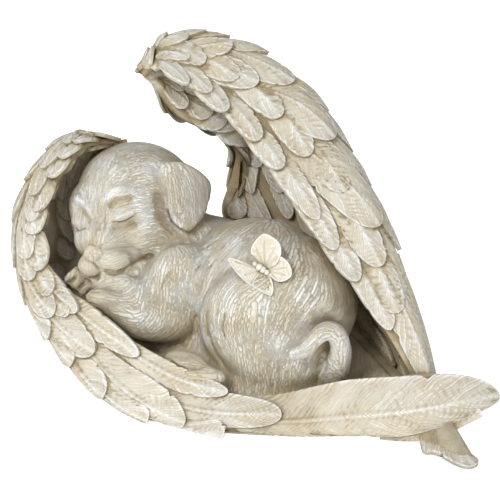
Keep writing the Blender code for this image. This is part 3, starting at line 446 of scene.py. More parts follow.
def closed_slab(top, bottom, flip):
    """One closed solid between two grids of points of the same size."""
    rows, columns = top.shape[:2]
    points = np.concatenate([top.reshape(-1, 3), bottom.reshape(-1, 3)])
    lower = rows * columns
    faces = grid_faces(rows, columns, 0, flip) + grid_faces(rows, columns, lower, not flip)
    edge = rim_of_grid(rows, columns)
    for a, b in zip(edge, edge[1:] + edge[:1]):
        quad = (a, b, b + lower, a + lower)
        faces.append(quad[::-1] if flip else quad)
    return points, faces


class Carving:
    """Gathers closed solids with the finish values of their points: wear (white) and wash with painted shade (dark).
    """

    def __init__(self):
        self.points = []
        self.faces = []
        self.values = []
        self.count = 0

    def add(self, points, faces, values):
        self.points.append(points)
        self.faces += [[index + self.count for index in face] for face in faces]
        self.values.append(values)
        self.count += len(points)

    def build(self, name):
        """One mesh object of everything gathered."""
        points = np.concatenate(self.points)
        values = np.concatenate(self.values)
        return mesh_object(name, points, self.faces, values)


VALUE_NAMES = ("wear", "wash_and_shade", "edge", "barb_u", "barb_v")


def mesh_object(name, points, faces, values):
    """A mesh object in the frame's metres, inside the solid's box, from points in the tables' millimetres."""
    mesh = bpy.data.meshes.new(name)
    placed = (points - np.array([PLAN_MIDDLE[0], PLAN_MIDDLE[1], 0])) * MM
    placed = np.clip(placed, *(np.array(corner) for corner in CAD_BOX))
    mesh.from_pydata(placed.tolist(), [], faces)
    for column, value_name in enumerate(VALUE_NAMES):
        layer = mesh.attributes.new(value_name, "FLOAT", "POINT")
        layer.data.foreach_set("value", values[:, column].astype(np.float32))
    mesh.shade_smooth()
    piece = bpy.data.objects.new(name, mesh)
    collection.objects.link(piece)
    return piece


def wing_wall(wing, carving, flip, rows):
    """The wing's wall, plain under its feathers; the last feather reaches past its end alone."""
    share = np.linspace(0, 1, wing.points.shape[1])[None, :, None]
    wall = SHELL_THICKNESS + (RIM_THICKNESS - SHELL_THICKNESS) * share
    outer, normal = wing.points[:rows:WALL_STEP], wing.normal[:rows:WALL_STEP]
    points, faces = closed_slab(outer, outer - wall * normal, flip)
    values = np.zeros((len(points), len(VALUE_NAMES)))
    # The wall is darkened all over, as painted shade in the gaps between the feathers.
    values[:, 1] = 0.55
    carving.add(points, faces, values)


def barb_relief(along, across, length, phase):
    """The height of the barbs at a point along and across a feather, and how deep in a groove it is."""
    fan = np.clip(along / length, 0, 1)
    slant = BARB_SLANT * (1 + 1.6 * fan**3)
    wobble = 0.5 * np.sin(along * 0.61 + phase) + 0.35 * np.sin(across * 1.3 + along * 0.23 + 2 * phase)
    rank = (along - np.abs(across) * slant + wobble) / BARB_SPACING
    tooth = np.abs(np.mod(rank, 1) - 0.5) * 2
    fine = np.abs(np.mod(rank * 2.3 + 0.3 * np.sin(rank), 1) - 0.5) * 2
    number = np.floor(rank)
    strength = 0.55 + 0.45 * np.sin(number * 12.9898 + phase * 3) ** 2
    fade = step_up(np.abs(across), 0.3, 1.4)
    groove = (1 - tooth) ** 1.4 * strength
    height = -BARB_DEPTH * fade * (groove + 0.3 * (1 - fine) ** 2)
    return height, groove * fade, rank * BARB_SPACING


def feather(wing, carving, root, tip, width, outside, flip, coarseness=1.0):
    """One carved feather laid on a face of the wing, its tip lifted clear of the next one."""
    root, tip = np.array(root, float), np.array(tip, float)
    middle = (root + tip) / 2
    stops = [wing.at(place) for place in (root, middle, tip)]
    length = float(np.linalg.norm(stops[2] - stops[1]) + np.linalg.norm(stops[1] - stops[0]))
    rows = int(np.clip(length / GRID_ALONG / coarseness, 14, 120))
    columns = int(np.clip(width / GRID_ACROSS / coarseness, 8, 30)) // 2 * 2 + 1
    phase = random.uniform(0, 20)
    share = 1 - (1 - np.linspace(0, 1, rows)) ** 1.25
    bow = random.uniform(-0.05, 0.05) * width
    shaft = root + (tip - root) * share[:, None]
    heading = wing.heading(shaft, tip - root)
    shaft = wing.step(shaft, heading + math.pi / 2, bow * np.sin(share * math.pi))
    half = 0.5 * width * (0.60 + 0.40 * np.sin(np.minimum(share * 1.7, 1) * math.pi / 2))
    half = half * np.sqrt(np.clip(1 - share**4.5, 0.0, 1)) + 0.05
    side = np.sin(np.linspace(-1, 1, columns) * math.pi / 2 * 0.92) / math.sin(math.pi / 2 * 0.92)
    nick_at = random.uniform(0.35, 0.9, size=2)
    nick = 1 - 0.13 * bell(share[:, None] - nick_at, 0.018)
    left = half * nick[:, 0]
    right = half * nick[:, 1]
    reach = np.where(side[None, :] < 0, left[:, None], right[:, None])
    offset = side[None, :] * reach
    places = np.stack([wing.step(shaft, heading + math.pi / 2, offset[:, k]) for k in range(columns)], axis=1)
    points = wing.at(places)
    normal = wing.read(wing.normal, places)
    along = np.broadcast_to(share[:, None] * length, offset.shape)
    height, groove, lanes = barb_relief(along, offset, length, phase)
    spine = bell(offset, 0.5) * step_up(1 - share[:, None], 0.08, 0.3)
    trough = (bell(np.abs(offset) - 1.0, 0.35)) * step_up(1 - share[:, None], 0.15, 0.4)
    from_edge = reach - np.abs(offset)
    margin = bell(from_edge - 0.35, 0.55) * step_up(share, 0.1, 0.35)[:, None]
    lift = FEATHER_LIFT * (0.22 + share**1.6)[:, None]
    crown = 0.13 * half[:, None] * (1 - side**2)[None, :]
    rise = lift + crown + height * (1 - 0.7 * margin) + SHAFT_RIDGE * spine - 0.3 * trough + RIM_BEAD * margin
    if outside:
        top = points + rise[..., None] * normal
        bottom = points + (lift - FEATHER_THICKNESS)[..., None] * normal
    else:
        wall = SHELL_THICKNESS + (RIM_THICKNESS - SHELL_THICKNESS) * np.clip(places[..., 1:], 0, 1)
        top = points - (wall + rise[..., None]) * normal
        bottom = points - (wall + (lift - FEATHER_THICKNESS)[..., None]) * normal
    face_flip = flip == outside
    count = rows * columns
    edge = rim_of_grid(rows, columns)
    ring = bottom.reshape(-1, 3)[edge]
    solid = np.concatenate([top.reshape(-1, 3), ring])
    faces = grid_faces(rows, columns, 0, face_flip)
    size = len(edge)
    for k in range(size):
        quad = (edge[k], edge[(k + 1) % size], count + (k + 1) % size, count + k)
        faces.append(quad[::-1] if face_flip else quad)
    cap = [count + k for k in range(size)]
    faces.append(cap if face_flip else cap[::-1])
    values = np.zeros((len(solid), len(VALUE_NAMES)))
    # Darker towards the root, under the tip of the next feather: painted shade there; the grooves take the wash.
    low = step_up(1 - share, 0.55, 1.0)[:, None] * np.ones(offset.shape)
    heights = (1 - groove) * step_up(share, 0.15, 0.9)[:, None]
    values[:count, 0] = np.clip(0.10 + 0.45 * heights + 0.40 * spine + 0.50 * margin, 0, 1.1).ravel()
    values[:count, 1] = np.clip(groove * 1.05 + 0.6 * trough + 0.55 * low, 0, 1).ravel()
    values[:count, 2] = margin.ravel()
    values[:count, 3] = lanes.ravel()
    values[:count, 4] = offset.ravel()
    # The underside is darkened as painted shade.
    values[count:, 1] = 0.7
    values[count:, 2] = 0.2
    carving.add(solid, faces, values)


def between(pair, share):
    """The value at a share of the way from the first of a pair to the second."""
    return pair[0] + (pair[1] - pair[0]) * share


def row_feathers(wing, row):
    """Root, tip and width of each feather in a row."""
    across, start, end, count, length, width, heading = row
    for number in range(count):
        share = number / (count - 1)
        root = np.array([start + (end - start) * share, across + random.uniform(-0.012, 0.012)])
        tip = root
        turn = np.array(math.radians(between(heading, share) + random.uniform(-4, 4)))
        stretch = random.uniform(0.85, 1.2)
        for _ in range(6):
            tip = wing.step(tip, turn, stretch * between(length, share) / 6)
        yield root, tip, between(width, share)


def make_wing(name, sections, outside, inside, rows, outward, wall_rows):
    """A whole wing: its wall and every feather on it."""
    wing = Wing(sections, outward)
    carving = Carving()
    flip = outward < 0
    wing_wall(wing, carving, flip, wall_rows)
    for root, tip, width in outside:
        feather(wing, carving, root, tip, width, True, flip)
    for root, tip, width in inside:
        feather(wing, carving, root, tip, width, False, flip)
    for side, *row in rows:
        for root, tip, width in row_feathers(wing, row):
            feather(wing, carving, root, tip, width, side == "out", flip, ROW_COARSENESS)
    return carving.build(name)


def seen(place):
    """Turns right, up and near, as seen from the front, into places in millimetres."""
    place = np.asarray(place, float)
    down = math.radians(SEEN_DOWN)
    right, up, near = place[..., 0], place[..., 1], place[..., 2]
    y = up * math.sin(down) - near * math.cos(down)
    z = up * math.cos(down) + near * math.sin(down)
    return np.stack([right, y, z], axis=-1)


def as_seen(points):
    """Turns places in millimetres into right, up and near, as seen from the front."""
    down = math.radians(SEEN_DOWN)
    up = points[..., 1] * math.sin(down) + points[..., 2] * math.cos(down)
    near = points[..., 2] * math.sin(down) - points[..., 1] * math.cos(down)
    return np.stack([points[..., 0], up, near], axis=-1)


def unit_ball(columns, rows):
    """Points and faces of a ball of radius one, closed at its poles."""
    turn = np.arange(columns) * 2 * math.pi / columns
    rise = np.linspace(0, math.pi, rows + 1)[1:-1]
    ring = np.stack([np.cos(turn), np.sin(turn)], axis=1)
    points = [np.array([[0.0, 0, 1]])]
    points += [np.column_stack([ring * math.sin(angle), np.full(columns, math.cos(angle))]) for angle in rise]
    points = np.concatenate(points + [np.array([[0.0, 0, -1]])])
    last = len(points) - 1
    faces = []
    for k in range(columns):
        after = (k + 1) % columns
        faces.append([0, 1 + k, 1 + after])
        for row in range(len(rise) - 1):
            upper = 1 + row * columns
            faces.append([upper + k, upper + columns + k, upper + columns + after, upper + after])
        lower = 1 + (len(rise) - 1) * columns
        faces.append([lower + k, last, lower + after])
    return points, faces


class Clay:
    """Gathers overlapping masses to melt into one skin."""

    def __init__(self):
        self.points = []
        self.faces = []
        self.count = 0

    def add(self, points, faces):
        self.points.append(points)
        self.faces += [[index + self.count for index in face] for face in faces]
        self.count += len(points)

    def mass(self, middle, half_sizes, rotation):
        """An ellipsoid, turned by a rotation."""
        points, faces = unit_ball(40, 24)
        self.add((points * half_sizes) @ np.array(rotation).T + middle, faces)

    def turned_mass(self, middle, half_sizes, turn):
        """A mass of the body, turned about X, then Y, then Z."""
        x, y, z = (math.radians(angle) for angle in turn)
        rotation = Matrix.Rotation(z, 3, "Z") @ Matrix.Rotation(y, 3, "Y") @ Matrix.Rotation(x, 3, "X")
        self.mass(middle, half_sizes, rotation)

    def seen_mass(self, place, half_sizes, roll):
        """A mass given as seen: half sizes to the right, up and near, rolled in the view."""
        lean = Matrix.Rotation(math.radians(90 - SEEN_DOWN), 3, "X")
        self.mass(seen(place), half_sizes, lean @ Matrix.Rotation(math.radians(roll), 3, "Z"))

    def limb(self, stops):
        """A limb through the stops as a chain of overlapping balls."""
        ball_points, ball_faces = unit_ball(20, 12)
        line = smooth_rows([tuple(seen(place)) + (radius,) for place, radius in stops], 12 * len(stops))
        for x, y, z, radius in line:
            self.add(ball_points * radius + np.array([x, y, z]), ball_faces)

    def melt(self, voxel, rounds):
        """Melts everything gathered into one softened skin."""
        mesh = bpy.data.meshes.new("clay")
        mesh.from_pydata(np.concatenate(self.points).tolist(), [], self.faces)
        piece = bpy.data.objects.new("clay", mesh)
        collection.objects.link(piece)
        fuse = piece.modifiers.new("melt", "REMESH")
        fuse.mode = "VOXEL"
        fuse.voxel_size = voxel
        soften = piece.modifiers.new("soften", "SMOOTH")
        soften.factor = 0.5
        soften.iterations = rounds
        depsgraph = bpy.context.evaluated_depsgraph_get()
        result = bpy.data.meshes.new_from_object(piece.evaluated_get(depsgraph))
        bpy.data.objects.remove(piece)
        bpy.data.meshes.remove(mesh)
        return result


DEEP_REACH = 34.0
CREASE_REACH = 4.5
RAY_TURNS = 10


def mesh_arrays(mesh):
    """The points, triangles and normals of a mesh, in its own units."""
    mesh.calc_loop_triangles()
    points = np.zeros(len(mesh.vertices) * 3, np.float32)
    mesh.vertices.foreach_get("co", points)
    normals = np.zeros(len(mesh.vertices) * 3, np.float32)
    mesh.vertices.foreach_get("normal", normals)
    triangles = np.zeros(len(mesh.loop_triangles) * 3, np.int32)
    mesh.loop_triangles.foreach_get("vertices", triangles)
    return points.reshape(-1, 3), triangles.reshape(-1, 3), normals.reshape(-1, 3)


def shade_hollows(pieces):
    """Works out how sheltered each point is, near by (creases) and from afar (hollows), where the finish paints
    shade along with the wash.
    """
    points, triangles, normals, starts, count = [], [], [], [], 0
    for piece in pieces:
        own_points, own_triangles, own_normals = mesh_arrays(piece.data)
        starts.append(count)
        points.append(own_points)
        normals.append(own_normals)
        triangles.append(own_triangles + count)
        count += len(own_points)
    points = np.concatenate(points)
    normals = np.concatenate(normals).astype(float)
    triangles = np.concatenate(triangles)
    tree = BVHTree.FromPolygons(points.tolist(), triangles.tolist())
    helper = np.where(np.abs(normals[:, 2:]) < 0.9, np.array([0.0, 0, 1]), np.array([1.0, 0, 0]))
    side = unit(np.cross(normals, helper))
    ahead = np.cross(normals, side)
    hollow_wash_and_shade = np.zeros(count)
    crease_wash_and_shade = np.zeros(count)
    turns = RAY_TURNS
    start = points + normals * 0.12 * MM
    spin = random.uniform(0, 2 * math.pi, size=count)
    for turn in range(turns):
        angle = spin + turn * 2.39996
        tilt = math.sqrt((turn + 0.5) / turns) * 0.97
        rise = math.sqrt(1 - tilt * tilt)
        rays = normals * rise + (side * np.cos(angle)[:, None] + ahead * np.sin(angle)[:, None]) * tilt
        origins = start.tolist()
        for index, (origin, ray) in enumerate(zip(origins, rays.tolist())):
            distance = tree.ray_cast(origin, ray, DEEP_REACH * MM)[3]
            if distance is not None:
                distance = distance / MM
                hollow_wash_and_shade[index] += 1 - 0.6 * distance / DEEP_REACH
                if distance < CREASE_REACH:
                    crease_wash_and_shade[index] += 1 - 0.5 * distance / CREASE_REACH
    hollow_wash_and_shade = blur_over(triangles, hollow_wash_and_shade / turns, 2)
    crease_wash_and_shade = blur_over(triangles, crease_wash_and_shade / turns, 1)
    # Both values darken the finish: painted shade in creases and hollows, together with the tan wash there.
    for piece, begin in zip(pieces, starts):
        end = begin + len(piece.data.vertices)
        set_value(piece, "hollow_wash_and_shade", hollow_wash_and_shade[begin:end])
        set_value(piece, "crease_wash_and_shade", crease_wash_and_shade[begin:end])


def blur_over(triangles, values, rounds):
    """Averages values with those of the neighbouring points."""
    for _ in range(rounds):
        total = values.copy()
        weight = np.ones(len(values))
        for a, b in ((0, 1), (1, 2), (2, 0)):
            total += np.bincount(triangles[:, a], values[triangles[:, b]], len(values))
            total += np.bincount(triangles[:, b], values[triangles[:, a]], len(values))
            weight += np.bincount(triangles[:, a], minlength=len(values))
            weight += np.bincount(triangles[:, b], minlength=len(values))
        values = total / weight
    return values


def set_value(piece, name, values):
    """Stores one number for each point of a piece."""
    layer = piece.data.attributes.get(name) or piece.data.attributes.new(name, "FLOAT", "POINT")
    layer.data.foreach_set("value", np.asarray(values, np.float32))


# The tan, umber and olive colours darken hollows and creases: partly wash on the stone, partly painted shade.
CREAM = (0.50, 0.47, 0.39)
STRAW = (0.46, 0.40, 0.285)
TAN_STAIN_AND_SHADE = (0.40, 0.32, 0.19)
UMBER_WASH_AND_SHADE = (0.24, 0.187, 0.108)
OLIVE_WASH_AND_SHADE = (0.20, 0.158, 0.088)
CHALK = (0.65, 0.66, 0.665)
SLATE = (0.29, 0.29, 0.28)
SOOT = (0.045, 0.04, 0.035)


class Finish:
    """Builds a node material step by step."""

    def __init__(self, name):
        self.material = bpy.data.materials.new(name)
        self.material.use_nodes = True
        self.nodes = self.material.node_tree.nodes
        self.links = self.material.node_tree.links
        self.shader = self.nodes["Principled BSDF"]
        self.place = self.nodes.new("ShaderNodeTexCoord").outputs["Object"]

    def put(self, value, socket):
        """Links an output to a socket or sets a plain value on it."""
        if isinstance(value, bpy.types.NodeSocket):
            self.links.new(value, socket)
        elif isinstance(value, tuple):
            socket.default_value = value + (1,) * (4 - len(value)) if len(socket.default_value) == 4 else value
        else:
            socket.default_value = value

    def math(self, kind, first, second=0.0, third=0.0):
        node = self.nodes.new("ShaderNodeMath")
        node.operation = kind
        for socket, value in zip(node.inputs, (first, second, third)):
            self.put(value, socket)
        return node.outputs[0]

    def value(self, name):
        """A number stored on the points of the piece."""
        node = self.nodes.new("ShaderNodeAttribute")
        node.attribute_name = name
        return node.outputs["Fac"]

    def noise(self, scale, detail=3.0, place=None, roughness=0.55):
        """Cloudy noise between 0 and 1; the scale counts clouds in a metre."""
        node = self.nodes.new("ShaderNodeTexNoise")
        self.put(place or self.place, node.inputs["Vector"])
        node.inputs["Scale"].default_value = scale
        node.inputs["Detail"].default_value = detail
        node.inputs["Roughness"].default_value = roughness
        return node.outputs["Fac"]

    def ramp(self, value, low, high):
        """Rises smoothly from 0 to 1 between low and high."""
        node = self.nodes.new("ShaderNodeMapRange")
        node.interpolation_type = "SMOOTHSTEP"
        self.put(value, node.inputs["Value"])
        node.inputs["From Min"].default_value = low
        node.inputs["From Max"].default_value = high
        return node.outputs["Result"]

    def mix(self, share, under, over):
        """One colour laid over another."""
        node = self.nodes.new("ShaderNodeMix")
        node.data_type = "RGBA"
        node.clamp_factor = True
        self.put(share, node.inputs[0])
        self.put(under, node.inputs[6])
        self.put(over, node.inputs[7])
        return node.outputs[2]

    def combine(self, x, y, z):
        node = self.nodes.new("ShaderNodeCombineXYZ")
        for socket, value in zip(node.inputs, (x, y, z)):
            self.put(value, socket)
        return node.outputs[0]

    def bump(self, height, distance, strength=1.0, under=None):
        node = self.nodes.new("ShaderNodeBump")
        node.inputs["Strength"].default_value = strength
        node.inputs["Distance"].default_value = distance
        self.put(height, node.inputs["Height"])
        if under is not None:
            self.put(under, node.inputs["Normal"])
        return node.outputs["Normal"]


def antique_ivory(name, strand, chalk_gain, tan_and_shade_gain, line_gain):
    """Cast stone painted ivory, washed with tan and painted with shade in the hollows and creases, and dry-brushed
    white on the heights.
    """
    finish = Finish(name)
    shade = finish.math
    cloud = finish.noise(55.0, 3.0)
    patch = finish.noise(170.0, 4.0)
    grit = finish.noise(2600.0, 2.0)
    speck = finish.noise(1250.0, 3.0, roughness=0.7)
    hollow_wash_and_shade = finish.value("hollow_wash_and_shade")
    crease_wash_and_shade = finish.value("crease_wash_and_shade")
    wear = finish.value("wear")
    wash_and_shade = finish.value("wash_and_shade")
    if strand == "barbs":
        lanes = finish.value("barb_u")
        across = finish.value("barb_v")
        line_place = finish.combine(shade("MULTIPLY", lanes, 1.1), shade("MULTIPLY", across, 0.10), 0.0)
    else:
        along = finish.value("lock_u")
        across = finish.value("lock_v")
        line_place = finish.combine(shade("MULTIPLY", across, 1.2), shade("MULTIPLY", along, 0.11),
                                    finish.value("lock_id"))
    lines = finish.noise(1.0, 3.0, line_place, roughness=0.6)
    colour = finish.mix(finish.ramp(cloud, 0.35, 0.7), CREAM, STRAW)
    # Tan where sheltered, as painted shade with the wash, and in random stains.
    stain_and_shade = shade("ADD", shade("MULTIPLY", hollow_wash_and_shade, 1.5), shade("MULTIPLY", shade("SUBTRACT", patch, 0.5), 0.9))
    colour = finish.mix(shade("MULTIPLY", finish.ramp(stain_and_shade, 0.25, 0.95), tan_and_shade_gain), colour, TAN_STAIN_AND_SHADE)
    # Olive deep inside the hollows: painted shade with the wash.
    colour = finish.mix(shade("MULTIPLY", finish.ramp(hollow_wash_and_shade, 0.50, 0.95), 0.6), colour, OLIVE_WASH_AND_SHADE)
    # Umber in the creases and cut lines: wash with painted shade.
    gully_wash_and_shade = shade("ADD", shade("MULTIPLY", wash_and_shade, 0.62), shade("MULTIPLY", crease_wash_and_shade, 0.85))
    gully_wash_and_shade = shade("ADD", gully_wash_and_shade, shade("MULTIPLY", shade("SUBTRACT", patch, 0.5), 0.6))
    colour = finish.mix(shade("MULTIPLY", finish.ramp(gully_wash_and_shade, 0.25, 0.85), 0.8), colour, UMBER_WASH_AND_SHADE)
    fine = finish.ramp(lines, 0.50, 0.32)
    colour = finish.mix(shade("MULTIPLY", fine, 0.15 * line_gain), colour, SLATE)
    soot = shade("MULTIPLY", finish.ramp(speck, 0.58, 0.68), finish.ramp(gully_wash_and_shade, 0.42, 0.9))
    colour = finish.mix(shade("MULTIPLY", soot, 0.85), colour, SOOT)
    open_face = finish.ramp(hollow_wash_and_shade, 0.85, 0.30)
    brush = shade("ADD", shade("MULTIPLY", wear, 0.9), shade("MULTIPLY", shade("SUBTRACT", lines, 0.5), line_gain))
    brush = shade("ADD", brush, shade("MULTIPLY", shade("SUBTRACT", speck, 0.5), 1.0))
    brush = shade("SUBTRACT", brush, shade("MULTIPLY", gully_wash_and_shade, 0.6))
    chalk = shade("MULTIPLY", finish.ramp(brush, 0.30, 0.80), shade("MULTIPLY", open_face, chalk_gain))
    colour = finish.mix(chalk, colour, CHALK)
    finish.put(colour, finish.shader.inputs["Base Color"])
    finish.shader.inputs["Roughness"].default_value = 0.82
    finish.shader.inputs["Specular IOR Level"].default_value = 0.28
    fine_bump = finish.bump(lines, 0.00045)
    finish.put(finish.bump(grit, 0.00012, 1.0, fine_bump), finish.shader.inputs["Normal"])
    return finish.material


def ear_flap(rows=16, columns=11):
    """The near ear: a flap that bends back from its front edge."""
    front = smooth_rows(EAR_FRONT, rows)
    back = smooth_rows(EAR_BACK, rows)
    share = np.linspace(0, 1, columns)[None, :, None]
    flat = front[:, None, :] * (1 - share) + back[:, None, :] * share
    near = EAR_NEAR - EAR_FALL * (flat[..., 0] - EAR_FRONT[3][0]) ** 2
    near = near - EAR_ROOT_DROP * np.linspace(1, 0, rows)[:, None] ** 2
    top = seen(np.concatenate([flat, near[..., None]], axis=-1))
    bottom = seen(np.concatenate([flat, near[..., None] - EAR_THICKNESS], axis=-1))
    return closed_slab(top, bottom, True)


def floor_slab():
    """The floor between the feet of the two wings."""
    lines = []
    for sections, span in ((NEAR_WING, NEAR_FLOOR_SPAN), (FAR_WING, FAR_FLOOR_SPAN)):
        foot = smooth_rows([section[0] for section in sections], 101)
        first, last = (int(round(100 * share)) for share in span)
        lines.append(smooth_rows(foot[first:last + 1], 25))
    share = np.linspace(-0.06, 1.06, 9)[None, :, None]
    top = lines[0][:, None, :] * (1 - share) + lines[1][:, None, :] * share
    top[..., 2] = FLOOR_TOP
    bottom = top.copy()
    bottom[..., 2] = FLOOR_UNDERSIDE
    return closed_slab(top, bottom, True)


def puppy_skin():
    """The puppy in one skin: the torso and the head are melted first, the fine parts join them last."""
    torso = Clay()
    for mass in TORSO:
        torso.turned_mass(*mass)
    head = Clay()
    for mass in HEAD:
        head.seen_mass(*mass)
    clay = Clay()
    for stage, melting in ((torso, TORSO_MELT), (head, HEAD_MELT)):
        skin = stage.melt(*melting)
        clay.add(mesh_arrays(skin)[0].astype(float), [list(face.vertices) for face in skin.polygons])
    clay.add(*ear_flap())
    clay.add(*floor_slab())
    for mass in FACE:
        clay.seen_mass(*mass)
    for stops in LIMBS:
        clay.limb(stops)
    return clay.melt(*PUPPY_MELT)


def refine(skin, chosen):
    """Splits the chosen faces of a mesh into four."""
    shape = bmesh.new()
    shape.from_mesh(skin)
    shape.faces.ensure_lookup_table()
    edges = {edge for index in chosen for edge in shape.faces[index].edges}
    bmesh.ops.subdivide_edges(shape, edges=list(edges), cuts=1, use_grid_fill=True)
    shape.to_mesh(skin)
    shape.free()


def face_middles(skin):
    """The middle and normal of each face."""
    middles = np.zeros(len(skin.polygons) * 3)
    skin.polygons.foreach_get("center", middles)
    normals = np.zeros(len(skin.polygons) * 3)
    skin.polygons.foreach_get("normal", normals)
    return middles.reshape(-1, 3), normals.reshape(-1, 3)


def within(places, fields):
    """Which places, as seen, lie in any of the round fields."""
    inside = np.zeros(len(places), bool)
    for right, up, reach in fields:
        inside |= np.hypot(places[:, 0] - right, places[:, 1] - up) < reach
    return inside


SIGHT = np.array(seen((0, 0, 1)))


def thin_hidden(skin):
    """Makes a mesh coarser where it isn't seen."""
    points, triangles, normals = mesh_arrays(skin)
    shown = (normals @ SIGHT > -0.2) & within(as_seen(points), FINE_FIELDS) & (points[:, 2] > 7)
    piece = bpy.data.objects.new("thinned", skin)
    collection.objects.link(piece)
    group = piece.vertex_groups.new(name="hidden")
    group.add(np.nonzero(~shown)[0].tolist(), 1.0, "REPLACE")
    group.add(np.nonzero(shown)[0].tolist(), 0.0, "REPLACE")
    thin = piece.modifiers.new("thin", "DECIMATE")
    thin.vertex_group = "hidden"
    thin.vertex_group_factor = 100.0
    hidden = (~shown[triangles]).all(axis=1).mean()
    thin.ratio = 1 - hidden * (1 - HIDDEN_KEPT)
    depsgraph = bpy.context.evaluated_depsgraph_get()
    result = bpy.data.meshes.new_from_object(piece.evaluated_get(depsgraph))
    bpy.data.objects.remove(piece)
    return result


def refine_seen(skin):
    """Splits the faces that are seen, and those of the face once more."""
    for fields in (FINE_FIELDS, FACE_FIELDS):
        middles, normals = face_middles(skin)
        front = normals @ SIGHT > -0.15
        refine(skin, np.nonzero(front & within(as_seen(middles), fields) & (middles[:, 2] > 7))[0])


def soften(points, triangles, rounds):
    """Averages each point with its neighbours."""
    return np.stack([blur_over(triangles, points[:, k], rounds) for k in range(3)], axis=1)


def point_normals(points, triangles):
    """The normal at each point."""
    a, b, c = (points[triangles[:, k]] for k in range(3))
    across = np.cross(b - a, c - a)
    normals = np.zeros_like(points)
    for k in range(3):
        for axis in range(3):
            normals[:, axis] += np.bincount(triangles[:, k], across[:, axis], len(points))
    return unit(normals)


def on_skin(tree, line, step=0.3):
    """Drops a line drawn as seen onto the skin and samples it evenly."""
    line = np.asarray(line, float)
    length = np.linalg.norm(np.diff(line, axis=0), axis=1).sum()
    line = smooth_rows(line, max(3, int(length / step)))
    samples = []
    for right, up in line:
        hit = tree.ray_cast(Vector(seen((right, up, 60))), Vector(-SIGHT))[0]
        if hit is not None:
            samples.append(hit)
    return np.array(samples)


def carve_lines(points, triangles, lines):
    """Cuts or raises lines on the skin."""
    wear = np.zeros(len(points))
    wash_and_shade = np.zeros(len(points))
    tree = BVHTree.FromPolygons(points.tolist(), triangles.tolist())
    for line, width, height in lines:
        samples = on_skin(tree, line)
        if len(samples) == 0:
            continue
        low = samples.min(axis=0) - 3 * width
        high = samples.max(axis=0) + 3 * width
        near_by = np.nonzero(((points > low) & (points < high)).all(axis=1))[0]
        if len(near_by) == 0:
            continue
        gap = np.linalg.norm(points[near_by][:, None, :] - samples[None, :, :], axis=2)
        nearest = gap.argmin(axis=1)
        gap = gap[np.arange(len(near_by)), nearest]
        ends = np.minimum(nearest, len(samples) - 1 - nearest) / max(4.0, 0.18 * len(samples))
        amount = bell(gap, width) * np.clip(0.25 + ends, 0, 1)
        normals = point_normals(points, triangles)[near_by]
        points[near_by] += normals * (amount * height)[:, None]
        # Cuts darken with wash and painted shade; raised lines take wear.
        if height < 0:
            wash_and_shade[near_by] = np.maximum(wash_and_shade[near_by], amount * min(1.0, -height * 1.1))
        else:
            wear[near_by] = np.maximum(wear[near_by], amount * 0.5 * height)
    return wear, wash_and_shade


def fur_flow(places):
    """The direction of the fur at places given as seen, as right and up."""
    flow = np.array(FUR_FLOW)
    direction = unit(flow[:, 2:])
    result = np.zeros((len(places), 2))
    for first in range(0, len(places), 20000):
        part = places[first:first + 20000, :2]
        gap = ((part[:, None, :] - flow[None, :, :2]) ** 2).sum(axis=2)
        weight = 1 / (gap + FLOW_REACH**2) ** 2
        result[first:first + 20000] = weight @ direction
    return unit(result)


def fur_size(places):
    """How wide a lock of fur is at places given as seen."""
    face = np.hypot(places[:, 0] + 60, places[:, 1] - 79)
    head = np.hypot(places[:, 0] + 48, places[:, 1] - 96)
    size = 1.6 - 0.4 * bell(head, 24)
    return size - 0.2 * bell(face, 16)


def crowded(cells, cell, points, index, spacing):
    """Whether another lock already starts close to this point."""
    for step in np.ndindex(3, 3, 3):
        beside = tuple(cell[axis] + step[axis] - 1 for axis in range(3))
        for other in cells.get(beside, ()):
            gap = points[index] - points[other]
            if gap @ gap < spacing * spacing * 1.9:
                return True
    return False


def comb_fur(points, triangles):
    """Carves the fur: locks that follow the flow, each with its own crown and tip."""
    normals = point_normals(points, triangles)
    places = as_seen(points)
    tree = BVHTree.FromPolygons(points.tolist(), triangles.tolist())
    order = random.permutation(len(points))
    size = fur_size(places)
    cells = {}
    seeds = []
    for index in order[:60000]:
        spacing = size[index]
        x, y, z = points[index]
        if z < 9.5:
            continue
        cell = (int(x // 3), int(y // 3), int(z // 3))
        if not crowded(cells, cell, points, index, spacing):
            cells.setdefault(cell, []).append(index)
            seeds.append(index)
    samples = []
    owners = []
    shares = []
    for number, index in enumerate(seeds):
        length = size[index] * random.uniform(4.5, 9.0)
        steps = int(length / 0.5)
        place = points[index].copy()
        normal = normals[index]
        for step in range(steps):
            heading = fur_flow(as_seen(place)[None])[0]
            direction = seen((heading[0], heading[1], 0))
            direction = direction - normal * (direction @ normal)
            length_here = np.linalg.norm(direction)
            if length_here < 0.05:
                break
            samples.append(place.copy())
            owners.append(number)
            shares.append(step / steps)
            hit, hit_normal, _, _ = tree.find_nearest(Vector(place + direction / length_here * 0.5))
            place = np.array(hit)
            normal = np.array(hit_normal)
    samples = np.array(samples)
    owners = np.array(owners)
    shares = np.array(shares)
    tree = KDTree(len(samples))
    for k, sample in enumerate(samples.tolist()):
        tree.insert(sample, k)
    tree.balance()
    first_gap = np.full(len(points), 9.0)
    next_gap = np.full(len(points), 9.0)
    owner = np.zeros(len(points), int)
    sample_of = np.zeros(len(points), int)
    chosen = np.nonzero(points[:, 2] > 8)[0]
    for index in chosen:
        found = tree.find_n(points[index], 14)
        own = owners[found[0][1]]
        owner[index] = own
        sample_of[index] = found[0][1]
        first_gap[index] = found[0][2]
        for _, k, gap in found[1:]:
            if owners[k] != own:
                next_gap[index] = gap
                break
    return samples, owners, shares, first_gap, next_gap, owner, sample_of, normals, places, size


FUR_DEPTH = 0.17
# Painted shade on the fur, such as on the rump under the far wing: right, up and reach as seen, and the strength.
PAINTED_FUR_SHADE = ((32, 70, 14, 1.5), (41, 55, 8, 1.3), (10, 25, 9, 0.5), (-58, 60, 4, 0.3), (-36, 92, 4, 0.5))
TAIL = 5


